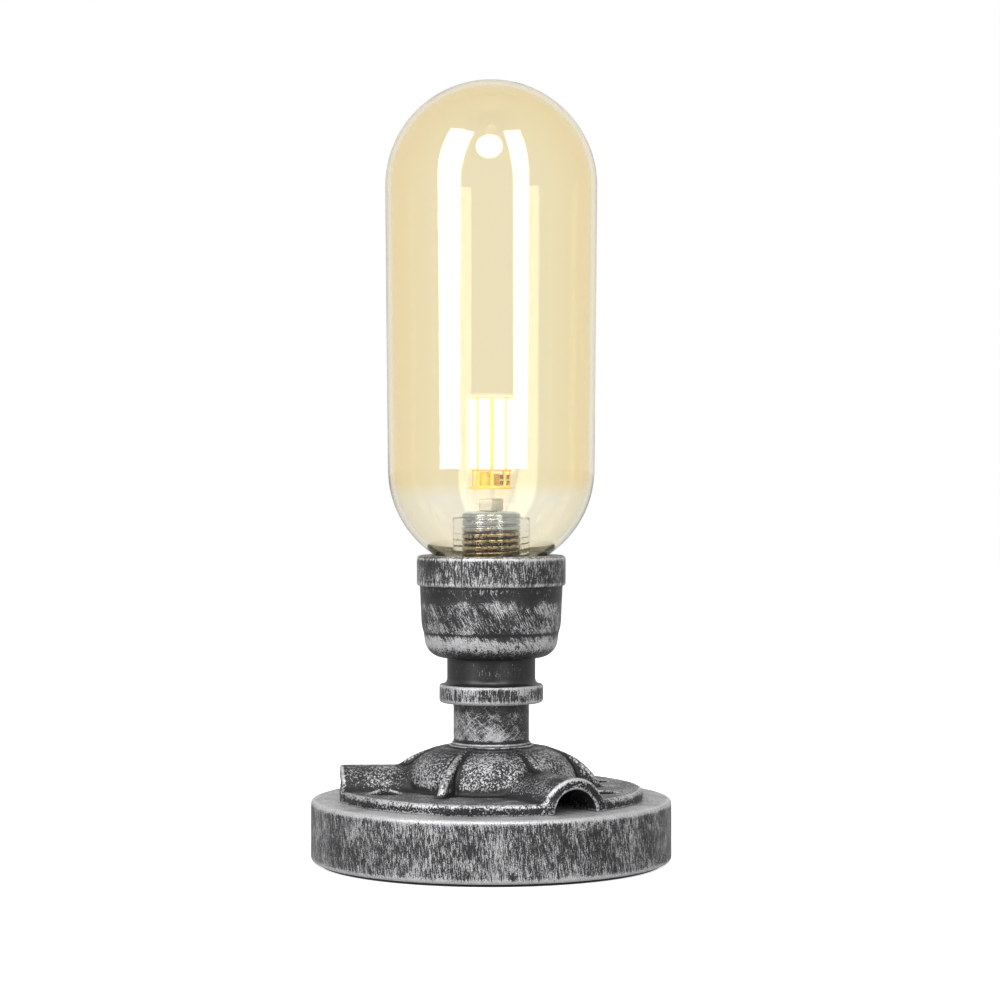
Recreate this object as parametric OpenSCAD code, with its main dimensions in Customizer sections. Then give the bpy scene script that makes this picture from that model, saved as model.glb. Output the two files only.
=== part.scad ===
// Industrial pipe table lamp: a round foot, a cast conduit flange with ribs and
// three half-round channels, a pipe nipple, a reducing coupling and a screwed-on
// capsule glass over a two-pin bulb. Millimetres, +Z up, origin on the table
// under the lamp's axis, front towards -Y.

/* [Lamp] */
// Height of the whole lamp
lamp_h = 260; // [240:1:330]

/* [Foot] */
// Diameter of the foot disc
base_d = 120; // [112:1:150]
// Height of the foot disc
base_h = 20; // [18:0.5:30]
// Rounding of the foot disc's edges
base_edge_r = 1.2; // [0.4:0.1:2]
// Diameter of the wiring recess under the foot
recess_d = 84; // [80:1:90]
// Depth of the wiring recess
recess_depth = 13; // [12.5:0.5:14]
// Thickness of the felt pad
felt_t = 1; // [0.5:0.1:2]
// How far the felt pad stays inside the foot's edge
felt_inset = 2.4; // [1.5:0.1:5]

/* [Cord outlet] */
// Diameter of the outlet bore through the back of the foot
outlet_d = 10; // [8:0.5:10.5]
// Bore of the grommet
grommet_bore_d = 6.5; // [4:0.1:7]
// Thickness of the grommet's inner lip
grommet_lip_t = 1.5; // [1:0.1:2]
// How far the grommet's inner lip reaches past the bore
grommet_lip_w = 1; // [0.6:0.1:1.2]
// How far the grommet's outer end lies behind the foot's edge
grommet_set_back = 0.8; // [0.5:0.1:2]

/* [Flange] */
// Diameter of the flange plate
flange_d = 100.8; // [98:0.2:108]
// Thickness of the flange plate
plate_t = 3.6; // [3:0.1:5]
// Rounding of the plate's top edge
plate_edge_r = 0.8; // [0.3:0.1:1.2]
// Height of the hub's top above the flange's underside
hub_h = 17.3; // [16.5:0.1:19]
// Diameter of the hub's top disc
hub_d = 39.2; // [37:0.2:41]
// Rounding of the hub disc's edge
hub_edge_r = 1.2; // [0.8:0.1:1.3]
// How far the domed panels stay below the hub's top
panel_drop = 0.8; // [0.5:0.1:1.5]
// Radius of the domed panels' section
panel_arc_r = 11.5; // [10.5:0.1:12]
// Wall of the flange's dome
dome_wall = 3.2; // [2.6:0.1:3.8]
// Wall of the hub's sleeve around the pipe
sleeve_wall = 3.6; // [3:0.1:3.8]
// Number of ribs
rib_count = 6; // [6:6:6]
// Width of a rib
rib_w = 2.8; // [2:0.1:3.6]
// Radius of a rib's crest line
rib_arc_r = 24.4; // [23:0.1:25]
// Number of half-round channels
channel_count = 3; // [1:1:3]
// Inner radius of a channel
channel_r = 8.2; // [7:0.1:8.6]
// Wall of a channel's arch
channel_wall = 3.6; // [2.8:0.1:4]
// How far a channel's axis lies below the flange's underside
channel_drop = 0.5; // [0.2:0.1:1]
// Diameter of the plate's screw holes
plate_hole_d = 10.2; // [6:0.2:10.6]
// Diameter of the screw holes' circle
plate_hole_pcd = 78; // [76:0.5:80]
// Angle between a screw hole and the plate's left-to-right line
plate_hole_angle = 25; // [25:0.5:34]
// Height of the raised lip around the pipe
hub_lip_h = 0.8; // [0.4:0.1:1.2]
// Width of the raised lip around the pipe
hub_lip_w = 1.6; // [1:0.1:2.4]

/* [Pipe] */
// Outer diameter of the pipe nipple
pipe_d = 25.2; // [24.4:0.1:25.6]
// Wall of the pipe nipple
pipe_wall = 3.1; // [2.4:0.1:3.6]
// Length of the nipple that shows between hub and coupling
pipe_show = 14.7; // [10:0.1:40]
// How deep the nipple screws into the hub
pipe_in_hub = 11.3; // [9:0.1:12]
// How deep the nipple screws into the coupling
pipe_in_coupling = 8.4; // [7:0.1:9]
// Height of the nipple's thread run-out ring
runout_h = 0.9; // [0.5:0.1:1.5]
// How far the run-out ring stands out of the pipe
runout_w = 0.6; // [0.3:0.1:0.9]

/* [Coupling] */
// Diameter of the coupling's lower ring
ring_d = 34.6; // [32.4:0.2:36]
// Height of the lower ring
ring_h = 6.1; // [5:0.1:7]
// Rounding of the lower ring's edges
ring_edge_r = 1; // [0.4:0.1:1.5]
// Diameter of the coupling's neck
neck_d = 29.4; // [28.6:0.2:30]
// Height of the neck
neck_h = 8.9; // [7:0.1:12]
// Fillet at both ends of the neck
neck_fillet_r = 0.8; // [0.4:0.1:1.1]
// Height of the bowl between neck and rim band
bowl_h = 23.8; // [22:0.1:30]
// Radius of the bowl's lower rounding
bowl_round_r = 6.4; // [6:0.1:7]
// Radius of the bowl's upper rounding
bowl_flare_r = 14; // [13:0.1:15]
// Diameter of the bowl under the rim band
bowl_d = 47.6; // [47:0.1:49]
// Diameter of the rim band
band_d = 49.6; // [49.2:0.2:52]
// Height of the rim band
band_h = 10.2; // [9:0.1:12]
// Rounding of the rim band's edges
band_edge_r = 1.2; // [0.5:0.1:1.6]
// Inner diameter of the mouth
mouth_d = 39.8; // [39.4:0.1:41]
// Width of the ledge that carries the mouth disc
ledge_w = 1.5; // [1:0.1:2]
// Depth of the seat from the rim down to the mouth disc's top
seat_depth = 7; // [6.6:0.1:8]
// Inner diameter of the coupling's waist
waist_d = 21; // [18:0.5:22]

/* [Rod] */
// Outer diameter of the hollow threaded rod
rod_d = 10; // [9:0.1:10]
// Bore of the rod
rod_bore_d = 7; // [6:0.1:7.2]
// How far the rod stands out of the lower nut
rod_stub = 0.8; // [0.4:0.1:1.5]
// Width across flats of the rod's nuts
nut_af = 14; // [13:0.5:15]
// Thickness of the lower nut
nut_low_t = 3.8; // [3:0.1:4]
// Thickness of the upper lock nut
nut_top_t = 3; // [2.6:0.1:3.5]
// Diameter of the large washer
washer_d = 24; // [20:1:26]
// Thickness of the large washer
washer_t = 1.5; // [1:0.1:1.6]
// Thickness of the mouth disc
disc_t = 1.5; // [1:0.1:2.5]

/* [Lampholder] */
// Outer diameter of the threaded shell
shell_d = 19.5; // [19:0.1:19.8]
// Height of the shell
shell_h = 18; // [17.4:0.1:18.4]
// Wall of the shell
shell_wall = 1; // [0.8:0.05:1.1]
// Thickness of the shell's bottom
shell_floor_t = 1.6; // [1.2:0.1:1.8]
// Height of the seat on which the ceramic body stands
holder_seat_h = 5; // [4.8:0.1:5.2]
// Width of that seat
holder_seat_w = 1.1; // [0.9:0.1:1.3]
// How far the ceramic body stands out of the shell
ceramic_show = 0.4; // [0.2:0.1:0.8]
// Distance between the two contacts
pin_pitch = 9; // [8.8:0.1:9.2]
// Turn of the contacts and the bulb about the lamp's axis
pin_turn = 70; // [0:5:90]
// Width of a contact slot
slot_w = 3.8; // [3.7:0.1:4.2]
// Thickness of a contact slot
slot_t = 2.6; // [2.6:0.1:3]
// Height of the slot's floor above the ceramic body's underside
slot_floor_h = 1; // [0.9:0.1:1.2]
// Thickness of the spring contacts
leaf_t = 0.4; // [0.3:0.05:0.5]
// Length of the spring contacts
leaf_h = 8; // [6:0.5:9]

/* [Shade] */
// Diameter of the glass at its top
glass_top_d = 70.6; // [69.6:0.2:73]
// Diameter of the glass at its bottom
glass_low_d = 68.8; // [67.6:0.2:69.4]
// Wall of the glass
glass_wall = 1.8; // [1.2:0.1:2.5]
// How deep the glass sits in the coupling's mouth
shade_nest = 5.7; // [5.2:0.1:5.8]
// Outer diameter of the clear thread collar
collar_d = 25.7; // [25:0.1:26.2]
// Wall of the collar
collar_wall = 2.4; // [1.8:0.1:2.4]
// Height of the collar
collar_h = 17.7; // [14:0.1:19]
// Diameter of the collar's shoulder under the glass
shoulder_d = 30; // [29:0.2:31]
// Height of the shoulder at the collar
shoulder_h = 1.6; // [1.2:0.1:1.7]
// Thickness of the seal ring
seal_t = 1.6; // [1.2:0.1:1.7]
// Inner diameter of the seal ring
seal_in_d = 21; // [18:0.5:24]

/* [Bulb] */
// Diameter of the bulb's clear cover
bulb_d = 16.7; // [16:0.1:17.4]
// Height of the clear cover
bulb_h = 36.4; // [34:0.1:45]
// Rounding of the cover's top edge
bulb_edge_r = 2.2; // [1.2:0.1:3]
// Wall of the clear cover
bulb_wall = 0.8; // [0.6:0.1:1]
// Height of the pinch under the cover
pinch_h = 2.6; // [2:0.1:4]
// Width of the pinch
pinch_w = 13; // [12.4:0.1:13.4]
// Thickness of the pinch
pinch_t = 4.6; // [3.6:0.1:5]
// Diameter of the pin wire
pin_wire_d = 0.8; // [0.6:0.05:0.9]
// Distance between a pin loop's legs
pin_loop_w = 2.2; // [1.8:0.1:2.3]
// Length of the pins below the pinch
pin_l = 12; // [10:0.1:12.2]
// Width across the corners of the eight-sided core
core_d = 13.4; // [12:0.2:13.8]
// Width of a light strip
strip_w = 3.8; // [2.4:0.1:4.2]
// Thickness of a light strip
strip_t = 0.6; // [0.4:0.1:0.7]
// Height of the driver parts under the core
driver_h = 6; // [5:0.1:7]
// Thickness of the cover's clear floor under the driver parts
cover_floor_t = 4.7; // [3:0.1:5]

/* [Wiring] */
// Diameter of a single insulated wire
wire_d = 1.6; // [1.2:0.1:1.8]
// Distance between two poles of the terminal block
pole_pitch = 8; // [7.4:0.1:9]
// Length of the terminal block along the wires
block_l = 16; // [14:0.5:18]
// Height of the terminal block
block_h = 9; // [8:0.5:9.5]
// Side of a brass terminal barrel
barrel_w = 4.4; // [4:0.1:4.6]
// Bore of a brass terminal barrel
barrel_bore_d = 3; // [2.6:0.1:3.2]
// Distance from the lamp's axis to the terminal block
block_y = 15; // [14:0.5:17]
// Thread diameter of the block's two fixing screws
block_screw_d = 3; // [2:0.1:3]
// Thread diameter of the earth screw
earth_screw_d = 4; // [3:0.1:4]
// Thickness of the earth tag
tag_t = 0.8; // [0.5:0.1:1]

/* [Hidden] */
$fn = 96;

// Small values that only serve clean cuts and fits
over = 1;
slip = 0.1;
free_gap = 0.3;
arc_steps = 6;
corner_steps = 3;
half = 0.5;
hex_corner_cut = 1.12;
fine_fn = 24;
fillet_steps = 4;

// Heights of the joints between the pieces
z_base_low = felt_t;
z_base_top = z_base_low + base_h;
z_recess = z_base_low + recess_depth;
z_plate = z_base_top + plate_t;
z_hub = z_base_top + hub_h;
z_pipe_low = z_hub - pipe_in_hub;
z_coupling = z_hub + pipe_show;
z_pipe_top = z_coupling + pipe_in_coupling;
z_ring = z_coupling + ring_h;
z_bowl = z_ring + neck_h;
z_band = z_bowl + bowl_h;
z_rim = z_band + band_h;
z_disc_top = z_rim - seat_depth;
z_disc_low = z_disc_top - disc_t;
z_shell = z_disc_top + nut_top_t;
z_shell_top = z_shell + shell_h;
z_ceramic = z_shell + holder_seat_h;
z_ceramic_top = z_shell_top + ceramic_show;
z_slot = z_ceramic + slot_floor_h;
z_seal_top = z_disc_top + seal_t;
z_collar = z_seal_top + free_gap;
z_collar_top = z_collar + collar_h;
z_glass = z_rim - shade_nest;
z_glass_top = lamp_h;
z_dome_low = z_glass + glass_low_d / 2;
z_dome_top = z_glass_top - glass_top_d / 2;
z_pinch = z_ceramic_top + free_gap;
z_cover = z_pinch + pinch_h;
z_cover_top = z_cover + bulb_h;
z_washer = z_recess - washer_t;
z_nut_low = z_washer - nut_low_t;
z_rod_low = z_nut_low - rod_stub;
z_rod_top = z_shell + shell_floor_t;
z_barrel = z_recess - block_h / 2;

// Foot
outlet_z = z_base_low + recess_depth / 2;
base_bore_d = rod_d + 2 * slip;

// Flange
pipe_r = pipe_d / 2;
panel_inset = 0.8;
panel_r = pipe_r + sleeve_wall + panel_inset;
z_panel = z_hub - panel_drop - panel_arc_r;
rib_drop = 0.2;
z_rib = z_hub - rib_drop - rib_arc_r;
rib_inset = 4.6;
rib_centre_r = hub_d / 2 - rib_inset;
rib_foot_sink = 0.7;
rib_low_angle = asin((z_plate - rib_foot_sink - z_rib) / rib_arc_r);
rib_depth = 7;
rib_in_r = rib_arc_r - rib_depth;
rib_draft = 0.5;
rib_step = 360 / rib_count;
channel_step = 360 / channel_count;
z_channel = z_base_top - channel_drop;
channel_root = 5;
channel_in_r = panel_r + channel_root;
hub_stop_w = 2.1;
hub_bore_d = pipe_d - 2 * hub_stop_w;

// Coupling
bowl_step = 0.3;
bowl_round_cx = neck_d / 2 + bowl_step;
bowl_low_r = bowl_round_cx + bowl_round_r;
z_round = z_bowl + bowl_round_r;
flare_rise = 6.6;
z_flare = z_round + flare_rise;
flare_cx = bowl_low_r - sqrt(pow(bowl_flare_r, 2) - pow(flare_rise, 2));
flare_start = 3;
cavity_d = mouth_d - 2 * ledge_w;
cavity_floor_t = 4;
cavity_rise = 6.4;
z_cavity = z_bowl + cavity_floor_t;
z_cavity_full = z_cavity + cavity_rise;
rim_chamfer = 0.8;

// Lampholder and bulb
ceramic_d = shell_d - 2 * shell_wall - 2 * slip;
holder_seat_d = shell_d - 2 * shell_wall - 2 * holder_seat_w;
tail_d = 1.6;
tail_drop = 0.8;
fork_in = slot_t / 2 - leaf_t - slip;
fork_w = slot_w - 2 * slip;
core_sides = 8;
core_flat_r = core_d / 2 * cos(180 / core_sides);
pinch_sink = 1.5;
z_driver = z_cover + cover_floor_t;
z_core = z_driver + driver_h;
z_core_top = z_cover_top - bulb_wall - free_gap;
board_t = 1;
board_d = bulb_d - 2 * bulb_wall - 2 * free_gap;
strip_margin = 0.6;
strip_z = z_core + strip_margin;
strip_h = z_core_top - strip_margin - strip_z;
can_d = 4;
can_place = [-2.2, -2.4];
small_can_d = 3;
small_can_place = [-2, 2.6];
chip_size = [3.2, 2.3];
chip_place = [2.7, -4.2];
coil_size = [2.4, 3.6];
coil_place = [0.6, 0.4];

// Wiring
block_side = 1;
block_w = 3 * pole_pitch + 2 * block_side;
z_block = z_recess - block_h;
barrel_inset = 1.5;
barrel_l = block_l - 2 * barrel_inset;
pole_x = [for (i = [0:2]) (i - 1) * pole_pitch];
clamp_screw_d = 2.6;
clamp_inset = 3;
clamp_y = barrel_l / 2 - clamp_inset;
clamp_hole_d = 3.8;
clamp_sink = 0.4;
screw_head_d = 5.2;
screw_head_h = 1.8;
screw_hold = 3.6;
earth_beside = 10;
earth_x = block_w / 2 + earth_beside;
earth_y = 6;
tag_d = 8.4;
tag_barrel_d = 2.6;
tag_barrel_l = 4;
earth_head_d = 7.4;
earth_head_h = 2.4;
wire_in = 3.2;
lead = 1.6;
end_run = 0.5;
sweep_side = 5;
sweep_y = 2.4;
sweep_drop = 1.4;
wire_apart = 1.3;
tail_bend = 0.9;
wire_sides = 8;
wire_under = 2.8;
z_under = z_rod_low - wire_under;
z_tail = z_ceramic - tail_drop;
tail_x = pin_pitch / 2;
entry_y = block_y + (block_l - barrel_l) / 2 + wire_in;
tag_end_x = earth_x - tag_d / 2 - tag_barrel_l + slip;
tag_z = z_recess - tag_barrel_d / 2 - slip;

// Routes of the three wires, from the lampholder or the tag to the block
live_route = holder_route(-1, pole_x[0]);
neutral_route = holder_route(1, pole_x[1]);
earth_route = [
    [tag_end_x, earth_y, tag_z],
    [tag_end_x - end_run, earth_y, tag_z],
    [tag_end_x - lead, earth_y, tag_z - slip],
    [tag_end_x - 2 * lead, earth_y + end_run, tag_z - sweep_drop],
    [tag_end_x - sweep_side, earth_y + sweep_y, z_barrel + end_run],
    [pole_x[2] + end_run / 2, block_y - 2 * lead, z_barrel],
    [pole_x[2], block_y - lead, z_barrel],
    [pole_x[2], entry_y, z_barrel]
];

// A point at radius r on the line through the two pins, turned by angle a
function beside(r, a, z) = [r * cos(a), r * sin(a), z];

function holder_route(side, end_x) = [
    beside(side * tail_x, pin_turn, z_tail),
    beside(side * tail_x, pin_turn, z_tail - end_run),
    beside(side * (tail_x - tail_bend), pin_turn, z_tail - sweep_drop),
    beside(side * (wire_apart + end_run), pin_turn, z_rod_top),
    beside(side * wire_apart, pin_turn, z_rod_top - lead),
    beside(side * wire_apart, pin_turn / 2, (z_rod_top + z_rod_low) / 2),
    beside(side * wire_apart, 0, z_rod_low + lead),
    beside(side * wire_apart, 0, z_rod_low),
    [side * wire_apart, end_run, z_rod_low - sweep_drop],
    [side * wire_apart, lead, z_under],
    [(side * wire_apart + end_x) / 2, earth_y, z_under + end_run],
    [end_x, block_y - 2.5 * lead, z_barrel - sweep_drop],
    [end_x, block_y - lead, z_barrel],
    [end_x, entry_y, z_barrel]
];

function arc(cx, cy, r, from, to, steps = arc_steps) = [
    for (i = [0:steps])
        let (a = from + (to - from) * i / steps)
        [cx + r * cos(a), cy + r * sin(a)]
];

// A rounded corner of an outline, or its bare point where the radius is nought
function corner(cx, cy, r, from, to) =
    r > 0 ? arc(cx, cy, r, from, to, corner_steps) : [[cx, cy]];

function unit(v) = v / norm(v);

function tangent(p, i) =
    unit(p[min(i + 1, len(p) - 1)] - p[max(i - 1, 0)]);

// Side direction of ring i, carried along the route so the tube doesn't twist
function side_of(p, i) =
    let (t = tangent(p, i), s = i == 0 ? [0, 1, 0] : side_of(p, i - 1))
    unit(s - (s * t) * t);

module tube_along(p, d) {
    n = wire_sides;
    last = len(p) - 1;
    points = [
        for (i = [0:last])
            let (s = side_of(p, i), q = cross(tangent(p, i), s))
            for (k = [0:n - 1])
                p[i] + d / 2 * (cos(k * 360 / n) * s + sin(k * 360 / n) * q)
    ];
    walls = [
        for (i = [0:last - 1], k = [0:n - 1])
            let (a = i * n + k, b = i * n + (k + 1) % n)
            each [[a, a + n, b], [b, a + n, b + n]]
    ];
    first_cap = [for (k = [1:n - 2]) [0, k, k + 1]];
    last_cap = [for (k = [1:n - 2]) [last * n, last * n + k + 1, last * n + k]];
    polyhedron(points, concat(walls, first_cap, last_cap));
}

module tube(low, high, d_out, d_in) {
    translate([0, 0, low])
        difference() {
            cylinder(h = high - low, d = d_out);
            translate([0, 0, -over]) cylinder(h = high - low + 2 * over, d = d_in);
        }
}

module rod_z(low, high, d) {
    translate([0, 0, low]) cylinder(h = high - low, d = d);
}

module hex_nut(low, high) {
    difference() {
        intersection() {
            rotate(30) rod_hex(low, high);
            rod_z(low, high, nut_af * hex_corner_cut);
        }
        rod_z(low - over, high + over, rod_d);
    }
}

module rod_hex(low, high) {
    translate([0, 0, low]) cylinder(h = high - low, d = nut_af / cos(30), $fn = 6);
}

module round_disc(low, high, d, low_r, top_r) {
    rotate_extrude()
        polygon(concat(
            [[0, low]],
            corner(d / 2 - low_r, low + low_r, low_r, -90, 0),
            corner(d / 2 - top_r, high - top_r, top_r, 0, 90),
            [[0, high]]
        ));
}

// Foot

module felt_pad() {
    color("#2b2b2d") rod_z(0, felt_t, base_d - 2 * felt_inset);
}

module base_disc() {
    color("#6f7073")
        difference() {
            round_disc(z_base_low, z_base_top, base_d, base_edge_r, base_edge_r);
            rod_z(z_base_low - over, z_recess, recess_d);
            rod_z(z_base_low, z_base_top + over, base_bore_d);
            outlet_bore();
            for (x = [-half, half] * pole_pitch)
                translate([x, block_y + block_l / 2, 0])
                    rod_z(z_recess - over, z_recess + screw_hold, block_screw_d);
            translate([earth_x, earth_y, 0])
                rod_z(z_recess - over, z_recess + screw_hold, earth_screw_d);
        }
}

module outlet_bore() {
    translate([0, recess_d / 2 - grommet_lip_t - over, outlet_z])
        rotate([-90, 0, 0])
            cylinder(h = base_d / 2 - recess_d / 2 + grommet_lip_t + 2 * over, d = outlet_d);
}

module cord_grommet() {
    lip_d = outlet_d + 2 * grommet_lip_w;
    inner_y = sqrt(pow(recess_d / 2, 2) - pow(lip_d / 2, 2)) - grommet_lip_t - slip;
    outer_y = base_d / 2 - grommet_set_back;
    color("#1c1c1e")
        translate([0, inner_y, outlet_z])
            rotate([-90, 0, 0])
                difference() {
                    union() {
                        cylinder(h = outer_y - inner_y, d = outlet_d);
                        cylinder(h = grommet_lip_t, d = lip_d);
                    }
                    translate([0, 0, -over])
                        cylinder(h = outer_y - inner_y + 2 * over, d = grommet_bore_d);
                }
}

// Rod and what it clamps

module rod_washer() {
    color("#b9bbbd") tube(z_washer, z_recess, washer_d, rod_d + 2 * slip);
}

module rod_nut_lower() {
    color("#c4b27a") hex_nut(z_nut_low, z_washer);
}

module rod_nut_upper() {
    color("#c4b27a") hex_nut(z_disc_top, z_shell);
}

module threaded_rod() {
    color("#a9abad") tube(z_rod_low, z_rod_top, rod_d, rod_bore_d);
}

module mouth_disc() {
    color("#5c5d60") tube(z_disc_low, z_disc_top, mouth_d - 2 * slip, rod_d + 2 * slip);
}

module seal_ring() {
    color("#2f2e2d") tube(z_disc_top, z_seal_top, shoulder_d, seal_in_d);
}

// Wiring

module terminal_block() {
    color("#e9e7df")
        translate([0, block_y, 0])
            difference() {
                translate([-block_w / 2, 0, z_block]) cube([block_w, block_l, block_h]);
                for (x = pole_x) {
                    translate([x, 0, 0]) pole_cut();
                    translate([x, 0, 0]) clamp_holes(z_block - over, clamp_hole_d);
                }
                for (x = [-half, half] * pole_pitch)
                    translate([x, block_l / 2, 0])
                        rod_z(z_block - over, z_recess + over, block_screw_d + 2 * slip);
            }
}

module pole_cut() {
    translate([-barrel_w / 2, (block_l - barrel_l) / 2, z_barrel - barrel_w / 2])
        cube([barrel_w, barrel_l, barrel_w]);
    translate([0, -over, z_barrel])
        rotate([-90, 0, 0]) cylinder(h = block_l + 2 * over, d = barrel_bore_d);
}

module clamp_holes(low, d) {
    for (y = [-clamp_y, clamp_y])
        translate([0, block_l / 2 + y, 0]) rod_z(low, z_barrel, d);
}

module terminal_barrels() {
    color("#c9a95a")
        for (x = pole_x)
            translate([x, block_y + (block_l - barrel_l) / 2, z_barrel])
                difference() {
                    translate([-barrel_w / 2, 0, -barrel_w / 2])
                        cube([barrel_w, barrel_l, barrel_w]);
                    translate([0, -over, 0])
                        rotate([-90, 0, 0])
                            cylinder(h = barrel_l + 2 * over, d = barrel_bore_d);
                    for (y = [-clamp_y, clamp_y])
                        translate([0, barrel_l / 2 + y, 0])
                            rod_z(-barrel_w, 0, clamp_screw_d);
                }
}

module terminal_screws() {
    color("#cfcfcf")
        for (x = pole_x, y = [-clamp_y, clamp_y])
            translate([x, block_y + block_l / 2 + y, 0])
                rod_z(z_block + clamp_sink, z_barrel - wire_d / 2 - slip, clamp_screw_d);
}

module block_screws() {
    color("#bfc1c3")
        for (x = [-half, half] * pole_pitch)
            translate([x, block_y + block_l / 2, 0])
                union() {
                    rod_z(z_block - screw_head_h, z_block, screw_head_d);
                    rod_z(z_block - slip, z_recess + screw_hold, block_screw_d);
                }
}

module earth_screw() {
    color("#c9a95a")
        translate([earth_x, earth_y, 0])
            union() {
                rod_z(z_recess - tag_t - earth_head_h, z_recess - tag_t, earth_head_d);
                rod_z(z_recess - tag_t - slip, z_recess + screw_hold, earth_screw_d);
            }
}

module earth_tag() {
    color("#b8babc")
        translate([earth_x, earth_y, 0])
            difference() {
                union() {
                    rod_z(z_recess - tag_t, z_recess, tag_d);
                    translate([-tag_d / 2 - tag_barrel_l + slip, 0, tag_z])
                        rotate([0, 90, 0])
                            cylinder(h = tag_barrel_l + tag_barrel_d / 2, d = tag_barrel_d);
                }
                rod_z(z_recess - tag_t - over, z_recess + over, earth_screw_d + 2 * slip);
                rod_z(z_recess - tag_t - earth_head_h - over, z_recess - tag_t,
                    earth_head_d + 2 * slip);
            }
}

module live_wire() {
    color("#7a4a2a") tube_along(live_route, wire_d);
}

module neutral_wire() {
    color("#3b6ea8") tube_along(neutral_route, wire_d);
}

module earth_wire() {
    color("#6f9a3a") tube_along(earth_route, wire_d);
}

// Flange

module flange() {
    color("#7d7e81")
        difference() {
            union() {
                round_disc(z_base_top, z_plate, flange_d, 0, plate_edge_r);
                flange_dome();
                round_disc(z_panel, z_hub, hub_d, 0, hub_edge_r);
                rod_z(z_hub - over, z_hub + hub_lip_h, pipe_d + 2 * hub_lip_w);
                for (i = [0:rib_count - 1]) rotate(i * rib_step) rib();
                intersection() {
                    for (i = [0:channel_count - 1])
                        rotate(180 + i * channel_step) channel_arch();
                    round_disc(z_base_top, z_hub, flange_d, 0, plate_edge_r);
                }
            }
            flange_hollow();
            for (i = [0:channel_count - 1])
                rotate(180 + i * channel_step) channel_tunnel(channel_r, over);
            for (a = [-1, 1] * plate_hole_angle, b = [0, 180])
                rotate(a + b)
                    translate([plate_hole_pcd / 2, 0, 0])
                        rod_z(z_base_top - over, z_plate + slip, plate_hole_d);
            rod_z(z_pipe_low, z_hub + hub_lip_h + over, pipe_d);
            rod_z(z_base_top - over, z_hub, hub_bore_d);
        }
}

// The domed panels: a ring's round section over an upright foot
module flange_dome() {
    dome_ring(panel_arc_r, z_panel);
    rod_z(z_base_top, z_panel, 2 * (panel_r + panel_arc_r));
    rod_z(z_base_top, z_panel + panel_arc_r - slip, 2 * panel_r);
}

// The upper half of a ring whose section has radius r
module dome_ring(r, low) {
    intersection() {
        rotate_extrude() translate([panel_r, z_panel]) circle(r = r);
        rod_z(low, z_hub, 2 * (panel_r + r) + over);
    }
}

// The cored-out space between the hub's sleeve and the dome
module flange_hollow() {
    in_r = panel_arc_r - dome_wall;
    difference() {
        union() {
            dome_ring(in_r, z_panel - half);
            rod_z(z_base_top - over, z_panel, 2 * (panel_r + in_r));
        }
        rod_z(z_base_top - 2 * over, z_hub, pipe_d + 2 * sleeve_wall);
    }
}

// One rib: a drafted web with a round crest, swept along the crest's arc
module rib() {
    translate([rib_centre_r, 0, z_rib])
        rotate([90, 0, 0])
            rotate(rib_low_angle)
                rotate_extrude(angle = 90 - rib_low_angle)
                    polygon(concat(
                        [[rib_in_r, rib_w / 2 + rib_draft], [rib_in_r, -rib_w / 2 - rib_draft]],
                        arc(rib_arc_r - rib_w / 2, 0, rib_w / 2, -90, 90, fillet_steps)
                    ));
}

module channel_arch() {
    channel_tunnel(channel_r + channel_wall, 0);
}

module channel_tunnel(r, past) {
    translate([channel_in_r, 0, z_channel])
        rotate([0, 90, 0])
            cylinder(h = flange_d / 2 - channel_in_r + past, r = r);
}

// Pipe and coupling

module pipe_nipple() {
    color("#7d7e81")
        difference() {
            union() {
                rod_z(z_pipe_low, z_pipe_top, pipe_d);
                rod_z(z_hub + hub_lip_h, z_hub + hub_lip_h + runout_h,
                    pipe_d + 2 * runout_w);
            }
            rod_z(z_pipe_low - over, z_pipe_top + over, pipe_d - 2 * pipe_wall);
        }
}

module reducing_coupling() {
    color("#6a6b6e")
        difference() {
            rotate_extrude() polygon(coupling_outline());
            rod_z(z_coupling - over, z_pipe_top, pipe_d);
            rod_z(z_coupling, z_cavity + over, waist_d);
            rotate_extrude()
                polygon([
                    [0, z_cavity], [waist_d / 2, z_cavity],
                    [cavity_d / 2, z_cavity_full], [cavity_d / 2, z_band + over],
                    [0, z_band + over]
                ]);
            rod_z(z_band, z_disc_low, cavity_d);
            rod_z(z_disc_low, z_rim + over, mouth_d);
            translate([0, 0, z_rim - rim_chamfer])
                cylinder(h = rim_chamfer + slip, d1 = mouth_d,
                    d2 = mouth_d + 2 * rim_chamfer + 2 * slip);
        }
}

function coupling_outline() = concat(
    [[0, z_coupling]],
    arc(ring_d / 2 - ring_edge_r, z_coupling + ring_edge_r, ring_edge_r, -90, 0, fillet_steps),
    arc(ring_d / 2 - ring_edge_r, z_ring - ring_edge_r, ring_edge_r, 0, 90, fillet_steps),
    arc(neck_d / 2 + neck_fillet_r, z_ring + neck_fillet_r, neck_fillet_r, 270, 180, fillet_steps),
    arc(neck_d / 2 + neck_fillet_r, z_bowl - neck_fillet_r, neck_fillet_r, 180, 90, fillet_steps),
    arc(bowl_round_cx + neck_fillet_r, z_round, bowl_round_r, -90, 0),
    arc(flare_cx, z_flare, bowl_flare_r, -asin(flare_rise / bowl_flare_r) + flare_start, 0),
    [[bowl_d / 2, z_band - neck_fillet_r]],
    arc(band_d / 2 - band_edge_r, z_band + band_edge_r, band_edge_r, -90, 0, fillet_steps),
    arc(band_d / 2 - band_edge_r, z_rim - band_edge_r, band_edge_r, 0, 90, fillet_steps),
    [[0, z_rim]]
);

// Lampholder

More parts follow.
